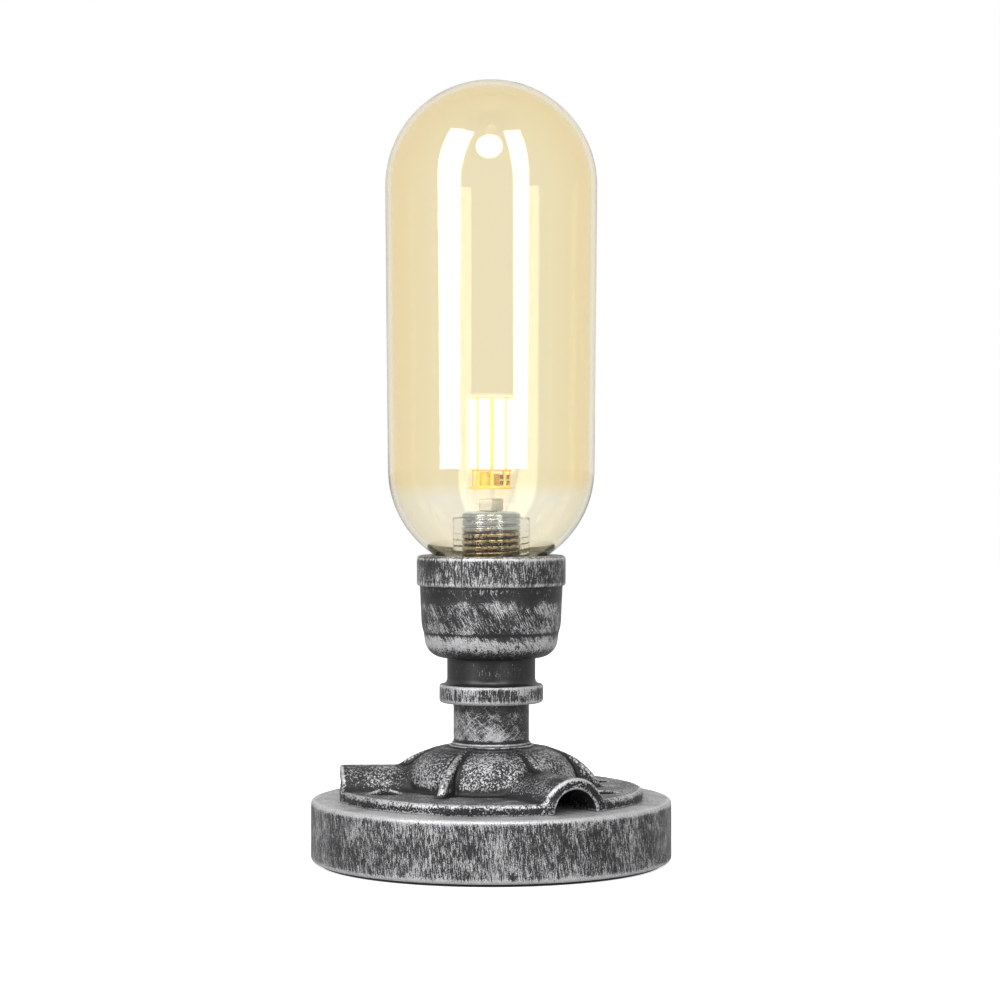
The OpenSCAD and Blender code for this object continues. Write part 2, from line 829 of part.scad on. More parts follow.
module socket_shell() {
    color("#b9a98c")
        difference() {
            rod_z(z_shell, z_shell_top, shell_d);
            rod_z(z_shell - over, z_shell_top, rod_d);
            rod_z(z_rod_top, z_shell_top, holder_seat_d);
            rod_z(z_ceramic, z_shell_top + over, shell_d - 2 * shell_wall);
        }
}

module socket_ceramic() {
    color("#dfe3e6")
        difference() {
            rod_z(z_ceramic, z_ceramic_top, ceramic_d);
            rotate(pin_turn)
                for (x = [-tail_x, tail_x]) {
                    translate([x - slot_w / 2, -slot_t / 2, z_slot])
                        cube([slot_w, slot_t, z_ceramic_top - z_slot + over]);
                    translate([x, 0, 0])
                        rod_z(z_ceramic - over, z_slot + over, tail_d + 2 * slip);
                }
        }
}

module socket_contacts() {
    color("#c9b27a")
        for (x = [-tail_x, tail_x])
            rotate(pin_turn) translate([x, 0, 0])
                union() {
                    for (side = [-1, 1])
                        translate([-fork_w / 2, side * (fork_in + leaf_t / 2) - leaf_t / 2, z_slot])
                            cube([fork_w, leaf_t, leaf_h]);
                    translate([-fork_w / 2, -fork_in - slip, z_slot])
                        cube([fork_w, 2 * fork_in + 2 * slip, leaf_t]);
                    rod_z(z_tail, z_slot + slip, tail_d);
                }
}

// Shade

module glass_shade() {
    color("#e9cf96", 0.45)
        difference() {
            capsule(0);
            capsule(glass_wall);
            rod_z(z_glass - over, z_dome_low, collar_d + 2 * slip);
        }
}

module capsule(inset) {
    translate([0, 0, z_dome_low]) sphere(d = glass_low_d - 2 * inset);
    translate([0, 0, z_dome_top]) sphere(d = glass_top_d - 2 * inset);
    translate([0, 0, z_dome_low])
        cylinder(h = z_dome_top - z_dome_low, d1 = glass_low_d - 2 * inset,
            d2 = glass_top_d - 2 * inset);
}

module thread_collar() {
    tip = z_collar + shoulder_h;
    rise = glass_low_z(shoulder_d / 2) - glass_low_z(collar_d / 2);
    color("#dfe6e2", 0.6)
        rotate_extrude()
            polygon([
                [collar_d / 2 - collar_wall, z_collar], [shoulder_d / 2, z_collar],
                [shoulder_d / 2, tip + rise], [collar_d / 2, tip],
                [collar_d / 2, z_collar_top], [collar_d / 2 - collar_wall, z_collar_top]
            ]);
}

function glass_low_z(r) = z_dome_low - sqrt(pow(glass_low_d / 2, 2) - pow(r, 2));

// Bulb

module bulb_cover() {
    color("#f3ead0", 0.5)
        difference() {
            round_disc(z_cover, z_cover_top, bulb_d, 0, bulb_edge_r);
            round_disc(z_driver, z_cover_top - bulb_wall, bulb_d - 2 * bulb_wall,
                0, bulb_edge_r - bulb_wall);
            rotate(pin_turn)
                translate([-pinch_w / 2 - slip, -pinch_t / 2 - slip, z_cover - over])
                    cube([pinch_w + 2 * slip, pinch_t + 2 * slip, pinch_sink + over]);
        }
}

module bulb_base() {
    color("#cfcbbd")
        rotate(pin_turn)
            translate([-pinch_w / 2, -pinch_t / 2, z_pinch])
                cube([pinch_w, pinch_t, pinch_h + pinch_sink]);
}

module driver_board() {
    color("#c9a33a")
        union() {
            rod_z(z_driver, z_driver + board_t, board_d);
            translate(can_place) rod_z(z_driver + board_t, z_core, can_d);
            translate(small_can_place) rod_z(z_driver + board_t, z_core, small_can_d);
            driver_box(chip_place, chip_size);
            driver_box(coil_place, coil_size);
        }
}

module driver_box(place, size) {
    translate([place[0], place[1], z_driver + board_t])
        cube([size[0], size[1], driver_h - board_t]);
}

module bulb_core() {
    color("#f2efe4")
        translate([0, 0, z_core])
            cylinder(h = z_core_top - z_core, d = core_d, $fn = core_sides);
}

module led_strips() {
    color("#ffe9a8")
        for (i = [0:core_sides - 1])
            rotate((i + half) * 360 / core_sides)
                translate([core_flat_r, -strip_w / 2, strip_z])
                    cube([strip_t, strip_w, strip_h]);
}

module bulb_pins() {
    color("#c7c9cb")
        for (x = [-tail_x, tail_x])
            rotate(pin_turn) translate([x, 0, z_pinch - pin_l + pin_loop_w / 2 + pin_wire_d / 2])
                union() {
                    for (side = [-1, 1])
                        translate([side * pin_loop_w / 2, 0, 0])
                            cylinder(h = pin_l - pin_loop_w / 2 - pin_wire_d / 2,
                                d = pin_wire_d, $fn = fine_fn);
                    rotate([90, 0, 0])
                        rotate(180)
                            rotate_extrude(angle = 180)
                                translate([pin_loop_w / 2, 0])
                                    circle(d = pin_wire_d, $fn = fine_fn);
                }
}

felt_pad();
base_disc();
cord_grommet();
rod_washer();
rod_nut_lower();
threaded_rod();
terminal_block();
terminal_barrels();
terminal_screws();
block_screws();
earth_screw();
earth_tag();
live_wire();
neutral_wire();
earth_wire();
flange();
pipe_nipple();
reducing_coupling();
mouth_disc();
rod_nut_upper();
seal_ring();
socket_shell();
socket_ceramic();
socket_contacts();
glass_shade();
thread_collar();
bulb_cover();
bulb_core();
led_strips();
driver_board();
bulb_base();
bulb_pins();
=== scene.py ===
import math

import bmesh
import bpy
import numpy as np
from mathutils import Matrix, Vector, noise


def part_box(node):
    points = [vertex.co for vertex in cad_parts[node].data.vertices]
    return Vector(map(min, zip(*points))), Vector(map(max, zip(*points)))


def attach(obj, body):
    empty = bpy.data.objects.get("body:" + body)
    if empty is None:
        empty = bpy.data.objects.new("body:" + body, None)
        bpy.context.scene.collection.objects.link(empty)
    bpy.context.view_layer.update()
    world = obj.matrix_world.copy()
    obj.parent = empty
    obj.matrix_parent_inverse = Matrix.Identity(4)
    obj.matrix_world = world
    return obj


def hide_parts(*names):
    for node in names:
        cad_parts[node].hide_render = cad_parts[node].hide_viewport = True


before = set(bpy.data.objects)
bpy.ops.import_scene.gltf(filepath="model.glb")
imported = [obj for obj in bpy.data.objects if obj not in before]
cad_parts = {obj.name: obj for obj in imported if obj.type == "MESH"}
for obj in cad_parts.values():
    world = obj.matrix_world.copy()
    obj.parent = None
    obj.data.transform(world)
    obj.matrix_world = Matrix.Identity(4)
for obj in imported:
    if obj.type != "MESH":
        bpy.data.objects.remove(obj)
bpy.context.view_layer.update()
scene = bpy.context.scene
MM = 0.001
WHITE = (1, 1, 1, 1)

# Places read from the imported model, and a few sizes of it, all in mm


def low(node):
    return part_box(node)[0] / MM


def high(node):
    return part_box(node)[1] / MM


def ends(node):
    """The lowest and the highest z of a node."""
    return low(node).z, high(node).z


FOOT_R = 60.0
FOOT_TOP = high("base_disc").z
PLATE_R = 50.4
PIPE_R = 12.6
OUTLET_Z = 7.5
RECESS_TOP = 14.0
GLASS_LOW_R = 34.4
GLASS_LOW_Z = 130.7
SHELL_R = 9.75
STRIP_LOW = 130.6
CHIP_PITCH = 2.9
PIN_TURN = math.radians(70)
PIN_WAY = Vector((math.cos(PIN_TURN), math.sin(PIN_TURN)))
PIN_APART = 4.5

# Camera, light and floor

VIEW_TURN = math.radians(-2.5)
EYE_DISTANCE = 880.0
EYE_HEIGHT = 127.0
EYE_DROP = math.radians(0.434)
EYE_TURN = math.radians(-0.19)
LENS = 95.07
LIT_POINT = Vector((0, 0, 0.15))


def add_object(name, data):
    obj = bpy.data.objects.new(name, data)
    scene.collection.objects.link(obj)
    return obj


def make_camera():
    data = bpy.data.cameras.new("camera")
    data.lens = LENS
    data.sensor_width = 36
    data.clip_start = 0.01
    cam = add_object("camera", data)
    cam.location = Vector((math.sin(VIEW_TURN) * EYE_DISTANCE, -math.cos(VIEW_TURN) * EYE_DISTANCE,
                           EYE_HEIGHT)) * MM
    cam.rotation_euler = (math.pi / 2 - EYE_DROP, 0, VIEW_TURN + EYE_TURN)
    scene.camera = cam


def stand_and_turn(azimuth, elevation, distance):
    """A point at that azimuth from the camera and that elevation, and the turn to face the glass."""
    a = VIEW_TURN + math.radians(azimuth)
    e = math.radians(elevation)
    stand = Vector((math.sin(a) * math.cos(e) * distance, -math.cos(a) * math.cos(e) * distance,
                    LIT_POINT.z + math.sin(e) * distance))
    return stand, (LIT_POINT - stand).to_track_quat("-Z", "Y")


def softbox(name, azimuth, elevation, distance, size, radiance, disc=False):
    """A soft lamp aimed at the glass, which shows it only on its near side."""
    data = bpy.data.lights.new(name, "AREA")
    data.shape = "DISK" if disc else "RECTANGLE"
    data.size, data.size_y = size
    data.energy = radiance * math.pi * size[0] * size[1] * (math.pi / 4 if disc else 1)
    lamp = add_object(name, data)
    lamp.location, turn = stand_and_turn(azimuth, elevation, distance)
    lamp.rotation_euler = turn.to_euler()
    lamp.visible_transmission = False
    return lamp


def bright_card(name, azimuth, elevation, distance, size, shine, inner_shine, outer_shine, disc=False):
    """A card that only reflections show: the eye doesn't see it, past the glass or through it.

    On top of its shine, inner_shine shows in reflections inside the glass and outer_shine in
    those on the glass's outside.
    """
    bm = bmesh.new()
    if disc:
        bmesh.ops.create_circle(bm, cap_ends=True, segments=64, radius=size[0] / 2)
    else:
        bmesh.ops.create_grid(bm, x_segments=1, y_segments=1, size=0.5)
        bmesh.ops.scale(bm, vec=(*size, 1), verts=bm.verts)
    stand, turn = stand_and_turn(azimuth, elevation, distance)
    bmesh.ops.transform(bm, matrix=Matrix.Translation(stand) @ turn.to_matrix().to_4x4(), verts=bm.verts)
    card = add_bmesh(name, bm)
    g = Finish(name + "_paper")
    straight = 1.0 - g.ray("Is Transmission Ray")
    mirrored = g.math("GREATER_THAN", g.ray("Ray Depth") - g.ray("Transmission Depth"), 0.5)
    strength = (g.ray("Is Transmission Ray") * inner_shine + shine
                + g.ray("Is Singular Ray") * straight * outer_shine)
    glow = g.get("ShaderNodeEmission", Color=WHITE, Strength=strength)
    g.put(g.end, g.fed("ShaderNodeMixShader", {}, g.math("MAXIMUM", mirrored, straight),
                       g.get("ShaderNodeBsdfTransparent"), glow))
    card.data.materials.append(g.material)
    card.visible_camera = card.visible_diffuse = card.visible_shadow = False


def make_lights():
    """Three soft lamps, each with a card just behind it that adds to its reflections, and a top light."""
    for name, azimuth, elevation, distance, (width, height), radiance, shine, outer_shine, disc in (
            ("strip_left", -46, 27, 1.3, (0.62, 1.44), 3.4, 2.7, 6.5, False),
            ("strip_right", 32, 27, 1.3, (0.40, 1.44), 3.4, 2.5, 6.5, False),
            ("round_flash", -2.5, 40, 1.2, (0.54, 0.54), 4.5, 7.0, 0.0, True)):
        softbox(name, azimuth, elevation, distance, (width, height), radiance, disc)
        bright_card(name + "_card", azimuth, elevation, distance + 0.02, (width + 0.01, height + 0.02),
                    shine, radiance, outer_shine, disc)
    softbox("overhead", 180, 80, 1.4, (1.0, 1.0), 2.4).visible_glossy = False


def make_world():
    world = bpy.data.worlds.new("studio")
    scene.world = world
    world.use_nodes = True
    g = Nodes(world.node_tree)
    g.tree.nodes.clear()
    seen = g.math("MAXIMUM", g.ray("Is Camera Ray"), g.ray("Is Transmission Ray"))
    strength = g.math("MAXIMUM", g.math("MAXIMUM", seen, g.ray("Is Glossy Ray") * 0.7), 0.26)
    g.node("ShaderNodeOutputWorld", Surface=g.get("ShaderNodeBackground", Color=WHITE, Strength=strength))


def make_floor():
    bm = bmesh.new()
    bmesh.ops.create_grid(bm, x_segments=1, y_segments=1, size=6)
    floor = add_bmesh("studio_floor", bm)
    g = Finish("floor_paper")
    through = g.ray("Is Transmission Ray")
    glow = g.get("ShaderNodeEmission", Color=WHITE, Strength=g.ray("Is Camera Ray") * 0.78)
    lit = g.fed("ShaderNodeAddShader", {}, glow, g.get("ShaderNodeBsdfDiffuse", Color=grey(0.86)))
    even = g.get("ShaderNodeEmission", Color=WHITE, Strength=g.ramp(through, 0, 1, 0.45, 0.98))
    indirect = g.math("MAXIMUM", g.ray("Is Glossy Ray"), through)
    g.put(g.end, g.fed("ShaderNodeMixShader", {}, indirect, lit, even))
    floor.data.materials.append(g.material)


# Small helpers for node trees

class Value:
    """A node's output that takes part in sums: each step adds a math node."""

    def __init__(self, nodes, socket):
        self.nodes, self.socket = nodes, socket

    def __add__(self, other):
        return self.nodes.math("ADD", self, other)

    def __sub__(self, other):
        return self.nodes.math("SUBTRACT", self, other)

    def __rsub__(self, other):
        return self.nodes.math("SUBTRACT", other, self)

    def __mul__(self, other):
        return self.nodes.math("MULTIPLY", self, other)


class Nodes:
    """A node tree: inputs go by name, and take a plain value or another node's output."""

    def __init__(self, tree):
        self.tree = tree

    def put(self, socket, value):
        if isinstance(value, Value):
            self.tree.links.new(value.socket, socket)
        elif socket.type == "VECTOR" and len(value) == 4:
            socket.default_value = value[:3]
        else:
            socket.default_value = value

    def node(self, kind, props=None, **inputs):
        n = self.tree.nodes.new(kind)
        for key, value in (props or {}).items():
            setattr(n, key, value)
        for key, value in inputs.items():
            self.put(n.inputs[key.replace("_", " ")], value)
        return n

    def get(self, kind, output=0, props=None, **inputs):
        return Value(self, self.node(kind, props, **inputs).outputs[output])

    def fed(self, kind, props, *values, output=0):
        """The output of a node whose inputs are given in their order."""
        n = self.node(kind, props)
        for socket, value in zip(n.inputs, values):
            self.put(socket, value)
        return Value(self, n.outputs[output])

    def math(self, how, a, b=0.0):
        return self.fed("ShaderNodeMath", {"operation": how}, a, b)

    def vec(self, how, a, b, output=0):
        return self.fed("ShaderNodeVectorMath", {"operation": how}, a, b, output=output)

    def vector(self, x=0.0, y=0.0, z=0.0):
        return self.get("ShaderNodeCombineXYZ", X=x, Y=y, Z=z)

    def ramp(self, value, from_low, from_high, to_low=0.0, to_high=1.0):
        return self.fed("ShaderNodeMapRange", {"clamp": True}, value, from_low, from_high, to_low, to_high)

    def vary(self, value, low_end, high_end):
        """Maps the span in which most of a noise lies to another one."""
        return self.ramp(value, 0.3, 0.7, low_end, high_end)

    def ray(self, name):
        return self.get("ShaderNodeLightPath", name)


class Finish(Nodes):
    """A material's node tree."""

    def __init__(self, name):
        self.material = bpy.data.materials.new(name)
        self.material.use_nodes = True
        super().__init__(self.material.node_tree)
        self.tree.nodes.clear()
        self.end = self.node("ShaderNodeOutputMaterial").inputs["Surface"]

    def noise(self, vector, scale, detail=4.0, rough=0.5, warp=0.0):
        return self.get("ShaderNodeTexNoise", "Fac", Vector=vector, Scale=scale, Detail=detail,
                        Roughness=rough, Distortion=warp)

    def mix(self, amount, a, b):
        n = self.node("ShaderNodeMix", {"data_type": "RGBA"}, Factor=amount)
        self.put(n.inputs[6], a)
        self.put(n.inputs[7], b)
        return Value(self, n.outputs[2])

    def toned(self, color, tone):
        return self.vec("MULTIPLY", color, self.vector(tone, tone, tone))

    def attribute(self, name):
        return self.get("ShaderNodeAttribute", "Fac", {"attribute_name": name})

    def place(self):
        """Object coordinates in millimetres."""
        return self.vec("MULTIPLY", self.get("ShaderNodeTexCoord", "Object"), (1 / MM, 1 / MM, 1 / MM))

    def part(self, place, axis):
        return self.get("ShaderNodeSeparateXYZ", axis, Vector=place)

    def bump(self, height, strength, distance):
        return self.get("ShaderNodeBump", "Normal", Height=height, Strength=strength,
                        Distance=distance * MM)

    def surface(self, **inputs):
        self.put(self.end, self.get("ShaderNodeBsdfPrincipled", **inputs))
        return self.material


def grey(v):
    return (v, v, v, 1)


# Finishes

DARK_PAINT = (0.015, 0.015, 0.016, 1)
SILVER_PAINT = (0.64, 0.64, 0.65, 1)


def strokes(g, place, lean, along, fine, seed):
    """Ragged brush strokes along Z, turned round the axis by lean: high where paint was left."""
    turned = g.get("ShaderNodeVectorRotate", 0, {"rotation_type": "Z_AXIS"}, Vector=place, Angle=lean)
    moved = g.vec("ADD", turned, (seed, seed * 0.7, 0))
    drawn = g.noise(g.vec("MULTIPLY", moved, (1, 1, along)), fine, 2, 0.55)
    broken = g.noise(g.vec("MULTIPLY", moved, (1, 1, along * 2.6)), fine * 1.7, 2, 0.6)
    broad = g.noise(g.vec("MULTIPLY", moved, (1, 1, along * 1.6)), fine * 0.28, 3, 0.6)
    return drawn * 0.48 + broken * 0.28 + broad * 0.24


def facing(g, place, azimuth):
    """1 where the wall faces that azimuth (from the front, to the right), down to -1 behind."""
    around = g.vec("NORMALIZE", g.vec("MULTIPLY", place, (1, 1, 0)), (0, 0, 0))
    a = math.radians(azimuth)
    return g.vec("DOT_PRODUCT", around, (math.sin(a), -math.cos(a), 0), "Value")


def dry_brushed(name, turn, cover, along, fine, lit_side, bands, slanted=(-1000.0, 1000.0), seed=0.0,
                crossed=False, blotches=0.34):
    """Dark grey paint with silver dragged over it along Z, heavier on edges (wear).

    Between the two heights of slanted the strokes lean by turn, in radians per mm. lit_side is
    the azimuth that takes more silver, and how much: painted light, so that the side facing the
    lamps reads lighter. Each band (low, high, rough, amount) gets more silver, or less where its
    amount is negative, with edges as ragged as rough in mm, and blotches is how much the silver
    comes and goes from place to place.
    """
    g = Finish(name)
    place = g.place()
    z = g.part(place, "Z")
    held = g.math("MINIMUM", g.math("MAXIMUM", z, slanted[0]), slanted[1])
    drawn = strokes(g, place, held * turn, along, fine, seed)
    if crossed:
        other = strokes(g, place, held * (-1.3 * turn), along, fine, seed + 31)
        drawn = g.math("MAXIMUM", drawn, other) - 0.03
    patches = g.noise(g.vec("ADD", place, (seed, 0, seed)), 0.11, 3, 0.6)
    grains = g.noise(place, 3.2, 2, 0.6)
    level = drawn + (patches - 0.5) * blotches + (grains - 0.5) * 0.16
    level = level + g.attribute("wear") * 0.13 - g.attribute("cavity") * 0.30
    # Painted light: more silver on the side facing the lamps, so that side reads lighter
    level = level + facing(g, place, lit_side[0]) * lit_side[1]
    swing = drawn - 0.5
    for low_z, high_z, rough, amount in bands:
        edge_z = z + swing * (rough * 18)
        above = g.ramp(edge_z, low_z - rough, low_z + rough)
        level = level + above * g.ramp(edge_z, high_z - rough, high_z + rough, 1.0, 0.0) * amount
    edge = 0.5 + (0.5 - cover) * 0.26
    silver = g.ramp(level, edge, edge + 0.055)
    dust = g.ramp(level, edge - 0.11, edge) * g.ramp(grains, 0.50, 0.62)
    dark = g.mix(dust, DARK_PAINT, grey(0.085))
    light = g.mix(g.ramp(grains, 0.32, 0.62), grey(0.30), SILVER_PAINT)
    return g.surface(Base_Color=g.mix(silver, dark, light), Metallic=silver * 0.3,
                     Roughness=g.ramp(silver, 0, 1, 0.36, 0.42),
                     Normal=g.bump(silver * 0.5 + grains * 0.5, 0.35, 0.1), Specular_IOR_Level=0.42)


def sand_cast(name):
    """Sand-cast iron: silver on the grains' tops, on the ridges and over the flat plate; in the hollows
    less silver, and the dark paint deepened to near black as painted shade.
    """
    g = Finish(name)
    place = g.place()
    wear, cavity, grain, flat = (g.attribute(key) for key in ("wear", "cavity", "grain", "flat"))
    squeezed = g.noise(place, 1.5, 3, 0.62, 0.4)
    fine = g.noise(place, 3.4, 2, 0.6)
    patches = g.noise(place, 0.12, 2)
    pits = squeezed * 0.7 + fine * 0.3
    smooth = 1.0 - g.math("MAXIMUM", grain, flat)
    level = pits + wear * 0.17 - cavity * 0.30 + (patches - 0.5) * 0.25 - flat * 0.015 - smooth * 0.07
    silver = g.ramp(level, 0.498, 0.573)
    light = g.mix(g.ramp(fine, 0.3, 0.65), grey(0.36), SILVER_PAINT)
    # Painted shade: the dark paint goes near black in the hollows
    dark = g.mix(cavity, g.mix(flat, DARK_PAINT, grey(0.022)), grey(0.004))
    height = pits * g.ramp(grain, 0, 1, 0.12, 1.0)
    return g.surface(Base_Color=g.mix(silver, dark, light), Metallic=silver * 0.35,
                     Roughness=g.ramp(silver, 0, 1, 0.45, 0.42), Normal=g.bump(height, 0.7, 0.5),
                     Specular_IOR_Level=0.3)


def plain(name, color, rough=0.5, metal=0.0, scale=1.5, tone=0.12, bump=0.15, glow=0.0):
    """A finish of one colour, with a fine mottle in its tone, gloss and surface; glow makes it shine in
    its own colour, which is painted light.
    """
    g = Finish(name)
    n = g.noise(g.place(), scale, 4, 0.6)
    return g.surface(Base_Color=g.toned(color, g.vary(n, 1 - tone, 1 + tone)), Metallic=metal,
                     Roughness=g.vary(n, rough * 0.85, min(1.0, rough * 1.15)),
                     Normal=g.bump(n, bump, 0.05), Emission_Color=color, Emission_Strength=glow)


def turned_metal(name, color, rough, upper_reflection=None, crest_glint=None):
    """Plated metal with fine rings left by the lathe.

    crest_glint is (radius, colour): painted glints of that colour on the thread crests at that
    radius. upper_reflection is (low, high, colour): above those two heights the colour turns to
    that one, a painted reflection of the light.
    """
    g = Finish(name)
    place = g.place()
    rings = g.noise(g.vec("MULTIPLY", place, (0.02, 0.02, 1)), 6.0, 3, 0.6)
    spots = g.noise(place, 0.9, 3)
    # Painted glints: the thread crests turn to the given colour
    if crest_glint:
        x, y = g.part(place, "X"), g.part(place, "Y")
        radius = g.math("SQRT", x * x + y * y) + (spots - 0.5) * 0.5
        color = g.mix(g.ramp(radius, crest_glint[0] - 0.08, crest_glint[0]), color, crest_glint[1])
    # Painted reflection: the colour turns lighter above the given heights
    if upper_reflection:
        color = g.mix(g.ramp(g.part(place, "Z"), upper_reflection[0], upper_reflection[1]), color, upper_reflection[2])
    return g.surface(Base_Color=g.toned(color, g.vary(spots, 0.9, 1.08)), Metallic=1.0,
                     Roughness=g.vary(rings, rough * 0.8, rough * 1.2),
                     Normal=g.bump(rings, 0.2, 0.03))


def felt(name):
    g = Finish(name)
    place = g.place()
    fibres = g.noise(place, 5.0, 6, 0.75, 1.2)
    clumps = g.noise(place, 0.6, 3)
    return g.surface(Base_Color=g.mix(g.ramp(fibres, 0.35, 0.65), grey(0.012), grey(0.045)),
                     Roughness=0.95, Normal=g.bump(fibres + clumps * 0.5, 0.8, 0.25), Sheen_Weight=0.4,
                     Sheen_Roughness=0.5)


def clear(name, color, ior, rim=None, pale=None):
    """Clear glass or plastic; the colour is what one wall leaves of white.

    rim is the deeper colour where the wall is seen edge on. pale is (high, low, colour): the
    glass pales to that colour between those two heights.
    """
    g = Finish(name)
    waves = g.noise(g.vec("MULTIPLY", g.place(), (1, 1, 0.25)), 0.06, 2)
    if rim:
        edge_on = g.get("ShaderNodeLayerWeight", "Facing", Blend=0.5)
        color = g.mix(g.ramp(edge_on, 0.05, 0.6), color, rim)
    if pale:
        deeper = g.mix(g.ramp(edge_on, 0.2, 0.75), WHITE, (0.90, 0.87, 0.76, 1))
        z = g.part(g.place(), "Z")
        color = g.mix(g.ramp(z, pale[0], pale[1]), color, g.vec("MULTIPLY", pale[2], deeper))
    return g.surface(Base_Color=color, Roughness=0.0, IOR=ior, Transmission_Weight=1.0,
                     Normal=g.bump(waves, 0.06, 1.0))


def faint(name, color, cover, haze, haze_low, haze_top, haze_glow):
    """A thin clear cover, seen by its gloss and by a haze of the light inside it."""
    g = Finish(name)
    place = g.place()
    z = g.part(place, "Z")
    lit = g.ramp(z, haze_low - 4, haze_low) * g.ramp(z, haze_top, haze_top + 2, 1.0, 0.0)
    return g.surface(Base_Color=color, Alpha=cover,
                     Roughness=g.vary(g.noise(place, 0.8, 2), 0.08, 0.16),
                     Emission_Color=haze, Emission_Strength=lit * haze_glow)


def glowing(name, color, strength, tint, low_z):
    """Phosphor over rows of light chips: bright, and yellower in the gaps between the rows."""
    g = Finish(name)
    place = g.place()
    rows = g.math("COSINE", (g.part(place, "Z") - low_z) * (2 * math.pi / CHIP_PITCH))
    gap = g.ramp(rows + g.noise(place, 1.2, 2) * 0.5, 0.75, 1.3)
    return g.surface(Base_Color=color, Roughness=0.5, Emission_Color=g.mix(gap, color, tint),
                     Emission_Strength=strength)


def striped(name, color, stripe):
    """A wire's sleeve with slanting stripes."""
    g = Finish(name)
    place = g.place()
    wave = g.math("SINE", (g.part(place, "X") + g.part(place, "Y")) * 1.6)
    n = g.noise(place, 1.6, 3)
    return g.surface(Base_Color=g.mix(g.ramp(wave, 0.1, 0.25), color, stripe),
                     Roughness=g.vary(n, 0.3, 0.4), Normal=g.bump(n, 0.1, 0.03))


# Meshes

def add_bmesh(name, bm):
    mesh = bpy.data.meshes.new(name)
    bm.to_mesh(mesh)
    bm.free()
    return add_object(name, mesh)


def add_mesh(name, places, faces):
    """A mesh of points in mm and lists of their numbers."""
    mesh = bpy.data.meshes.new(name)
    mesh.from_pydata((np.asarray(places) * MM).tolist(), [], faces)
    mesh.update()
    return add_object(name, mesh)


def paint(mesh, name, values):
    """Keeps a number for every vertex, for the finish to read."""
    layer = mesh.attributes.new(name, "FLOAT", "POINT")
    layer.data.foreach_set("value", np.asarray(values, np.float32))


def crisp(obj, degrees):
    obj.data.shade_smooth()
    obj.data.set_sharp_from_angle(angle=math.radians(degrees))
    return obj


def finish(obj, material):
    obj.data.materials.clear()
    obj.data.materials.append(material)


def dress(obj, body, slot, material, *nodes):
    """Gives a piece its finish and body, and hides the solids that it stands for; slot is not used."""
    finish(obj, material)
    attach(obj, body)
    if nodes:
        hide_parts(*nodes)


def arc(cx, cz, r, start, end, steps):
    angles = [math.radians(start + (end - start) * i / steps) for i in range(steps + 1)]
    return [(cx + r * math.cos(a), cz + r * math.sin(a)) for a in angles]


def refine(points, step=1.0, wall_r=None, wall_step=None):
    """Adds points along an outline's stretches, and closer ones on the wall that takes a thread."""
    out = []
    for i, p in enumerate(points):
        a, b = Vector(p), Vector(points[(i + 1) % len(points)])
        on_wall = wall_r is not None and abs(a.x - wall_r) < 0.01 and abs(b.x - wall_r) < 0.01
        parts = max(1, int((b - a).length / (wall_step if on_wall else step)))
        out += [tuple(a.lerp(b, k / parts)) for k in range(parts)]
    return out


def bend_of(points, i):
    """Turning of a closed outline at point i per millimetre: positive on a convex edge."""
    a, b, c = (Vector(points[(i + k) % len(points)]) for k in (-1, 0, 1))
    u, v = b - a, c - b
    if u.length < 1e-6 or v.length < 1e-6:
        return 0.0
    turn = math.atan2(u.x * v.y - u.y * v.x, u.dot(v))
    return turn / ((u.length + v.length) / 2)


def spread(values, points, reach=0.8):
    """Each point takes the strongest value near it, fading over reach mm."""
    places = [Vector(p) for p in points]
    return [max([0.0] + [v * (1 - (p - q).length / reach) for v, q in zip(values, places)
                         if v > 0 and (p - q).length < reach]) for p in places]


def revolve(name, points, segments, shape=None):
    """Spins a closed outline of (radius, height) points in mm round the lamp's axis.

    The outline runs counter-clockwise seen with the radius to the right. Every vertex keeps how
    convex (wear) and how hollow (cavity) the outline is there. shape(r, z, angle) may add a
    height in mm to the radius, such as a thread.
    """
    count = len(points)
    bends = [bend_of(points, i) for i in range(count)]
    angle = np.arange(segments) * 2 * np.pi / segments
    r = np.repeat(np.array(points)[:, :1], segments, 1)
    z = np.repeat(np.array(points)[:, 1:], segments, 1)
    if shape:
        r = r + shape(r, z, angle[None, :])
    places = np.stack([r * np.cos(angle), r * np.sin(angle), z], -1).reshape(-1, 3)
    i, k = np.meshgrid(np.arange(count), np.arange(segments), indexing="ij")
    nxt, side = (i + 1) % count, (k + 1) % segments
    quads = np.stack([i * segments + k, i * segments + side, nxt * segments + side, nxt * segments + k],
                     -1).reshape(-1, 4)
    obj = add_mesh(name, places, quads.tolist())
    for key, sign in (("wear", 1), ("cavity", -1)):
        values = spread([min(1.0, max(0.0, sign * b) * 1.2) for b in bends], points)
        paint(obj.data, key, np.repeat(values, segments))
    if min(p[0] for p in points) < 1e-6:
        bm = bmesh.new()
        bm.from_mesh(obj.data)
        bmesh.ops.remove_doubles(bm, verts=bm.verts, dist=1e-8)
        bm.to_mesh(obj.data)
        bm.free()
    obj.data.shade_smooth()
    return obj


def thread(radius, pitch, low, high, depth, outward=True):
    """A helical thread on the wall at that radius: crests stay, roots are cut by depth."""
    def cut_thread(r, z, angle):
        phase = np.mod((z - low) / pitch - angle / (2 * np.pi), 1.0)
        root = np.clip(1.25 - np.abs(phase - 0.5) * 4.2, 0, 1)
        root = root * root * (3 - 2 * root)
        ends = np.clip(np.minimum(z - low, high - z) / (pitch * 0.6), 0, 1)
        return np.where(np.abs(r - radius) < 0.02, (-depth if outward else depth) * root * ends, 0.0)
    return cut_thread


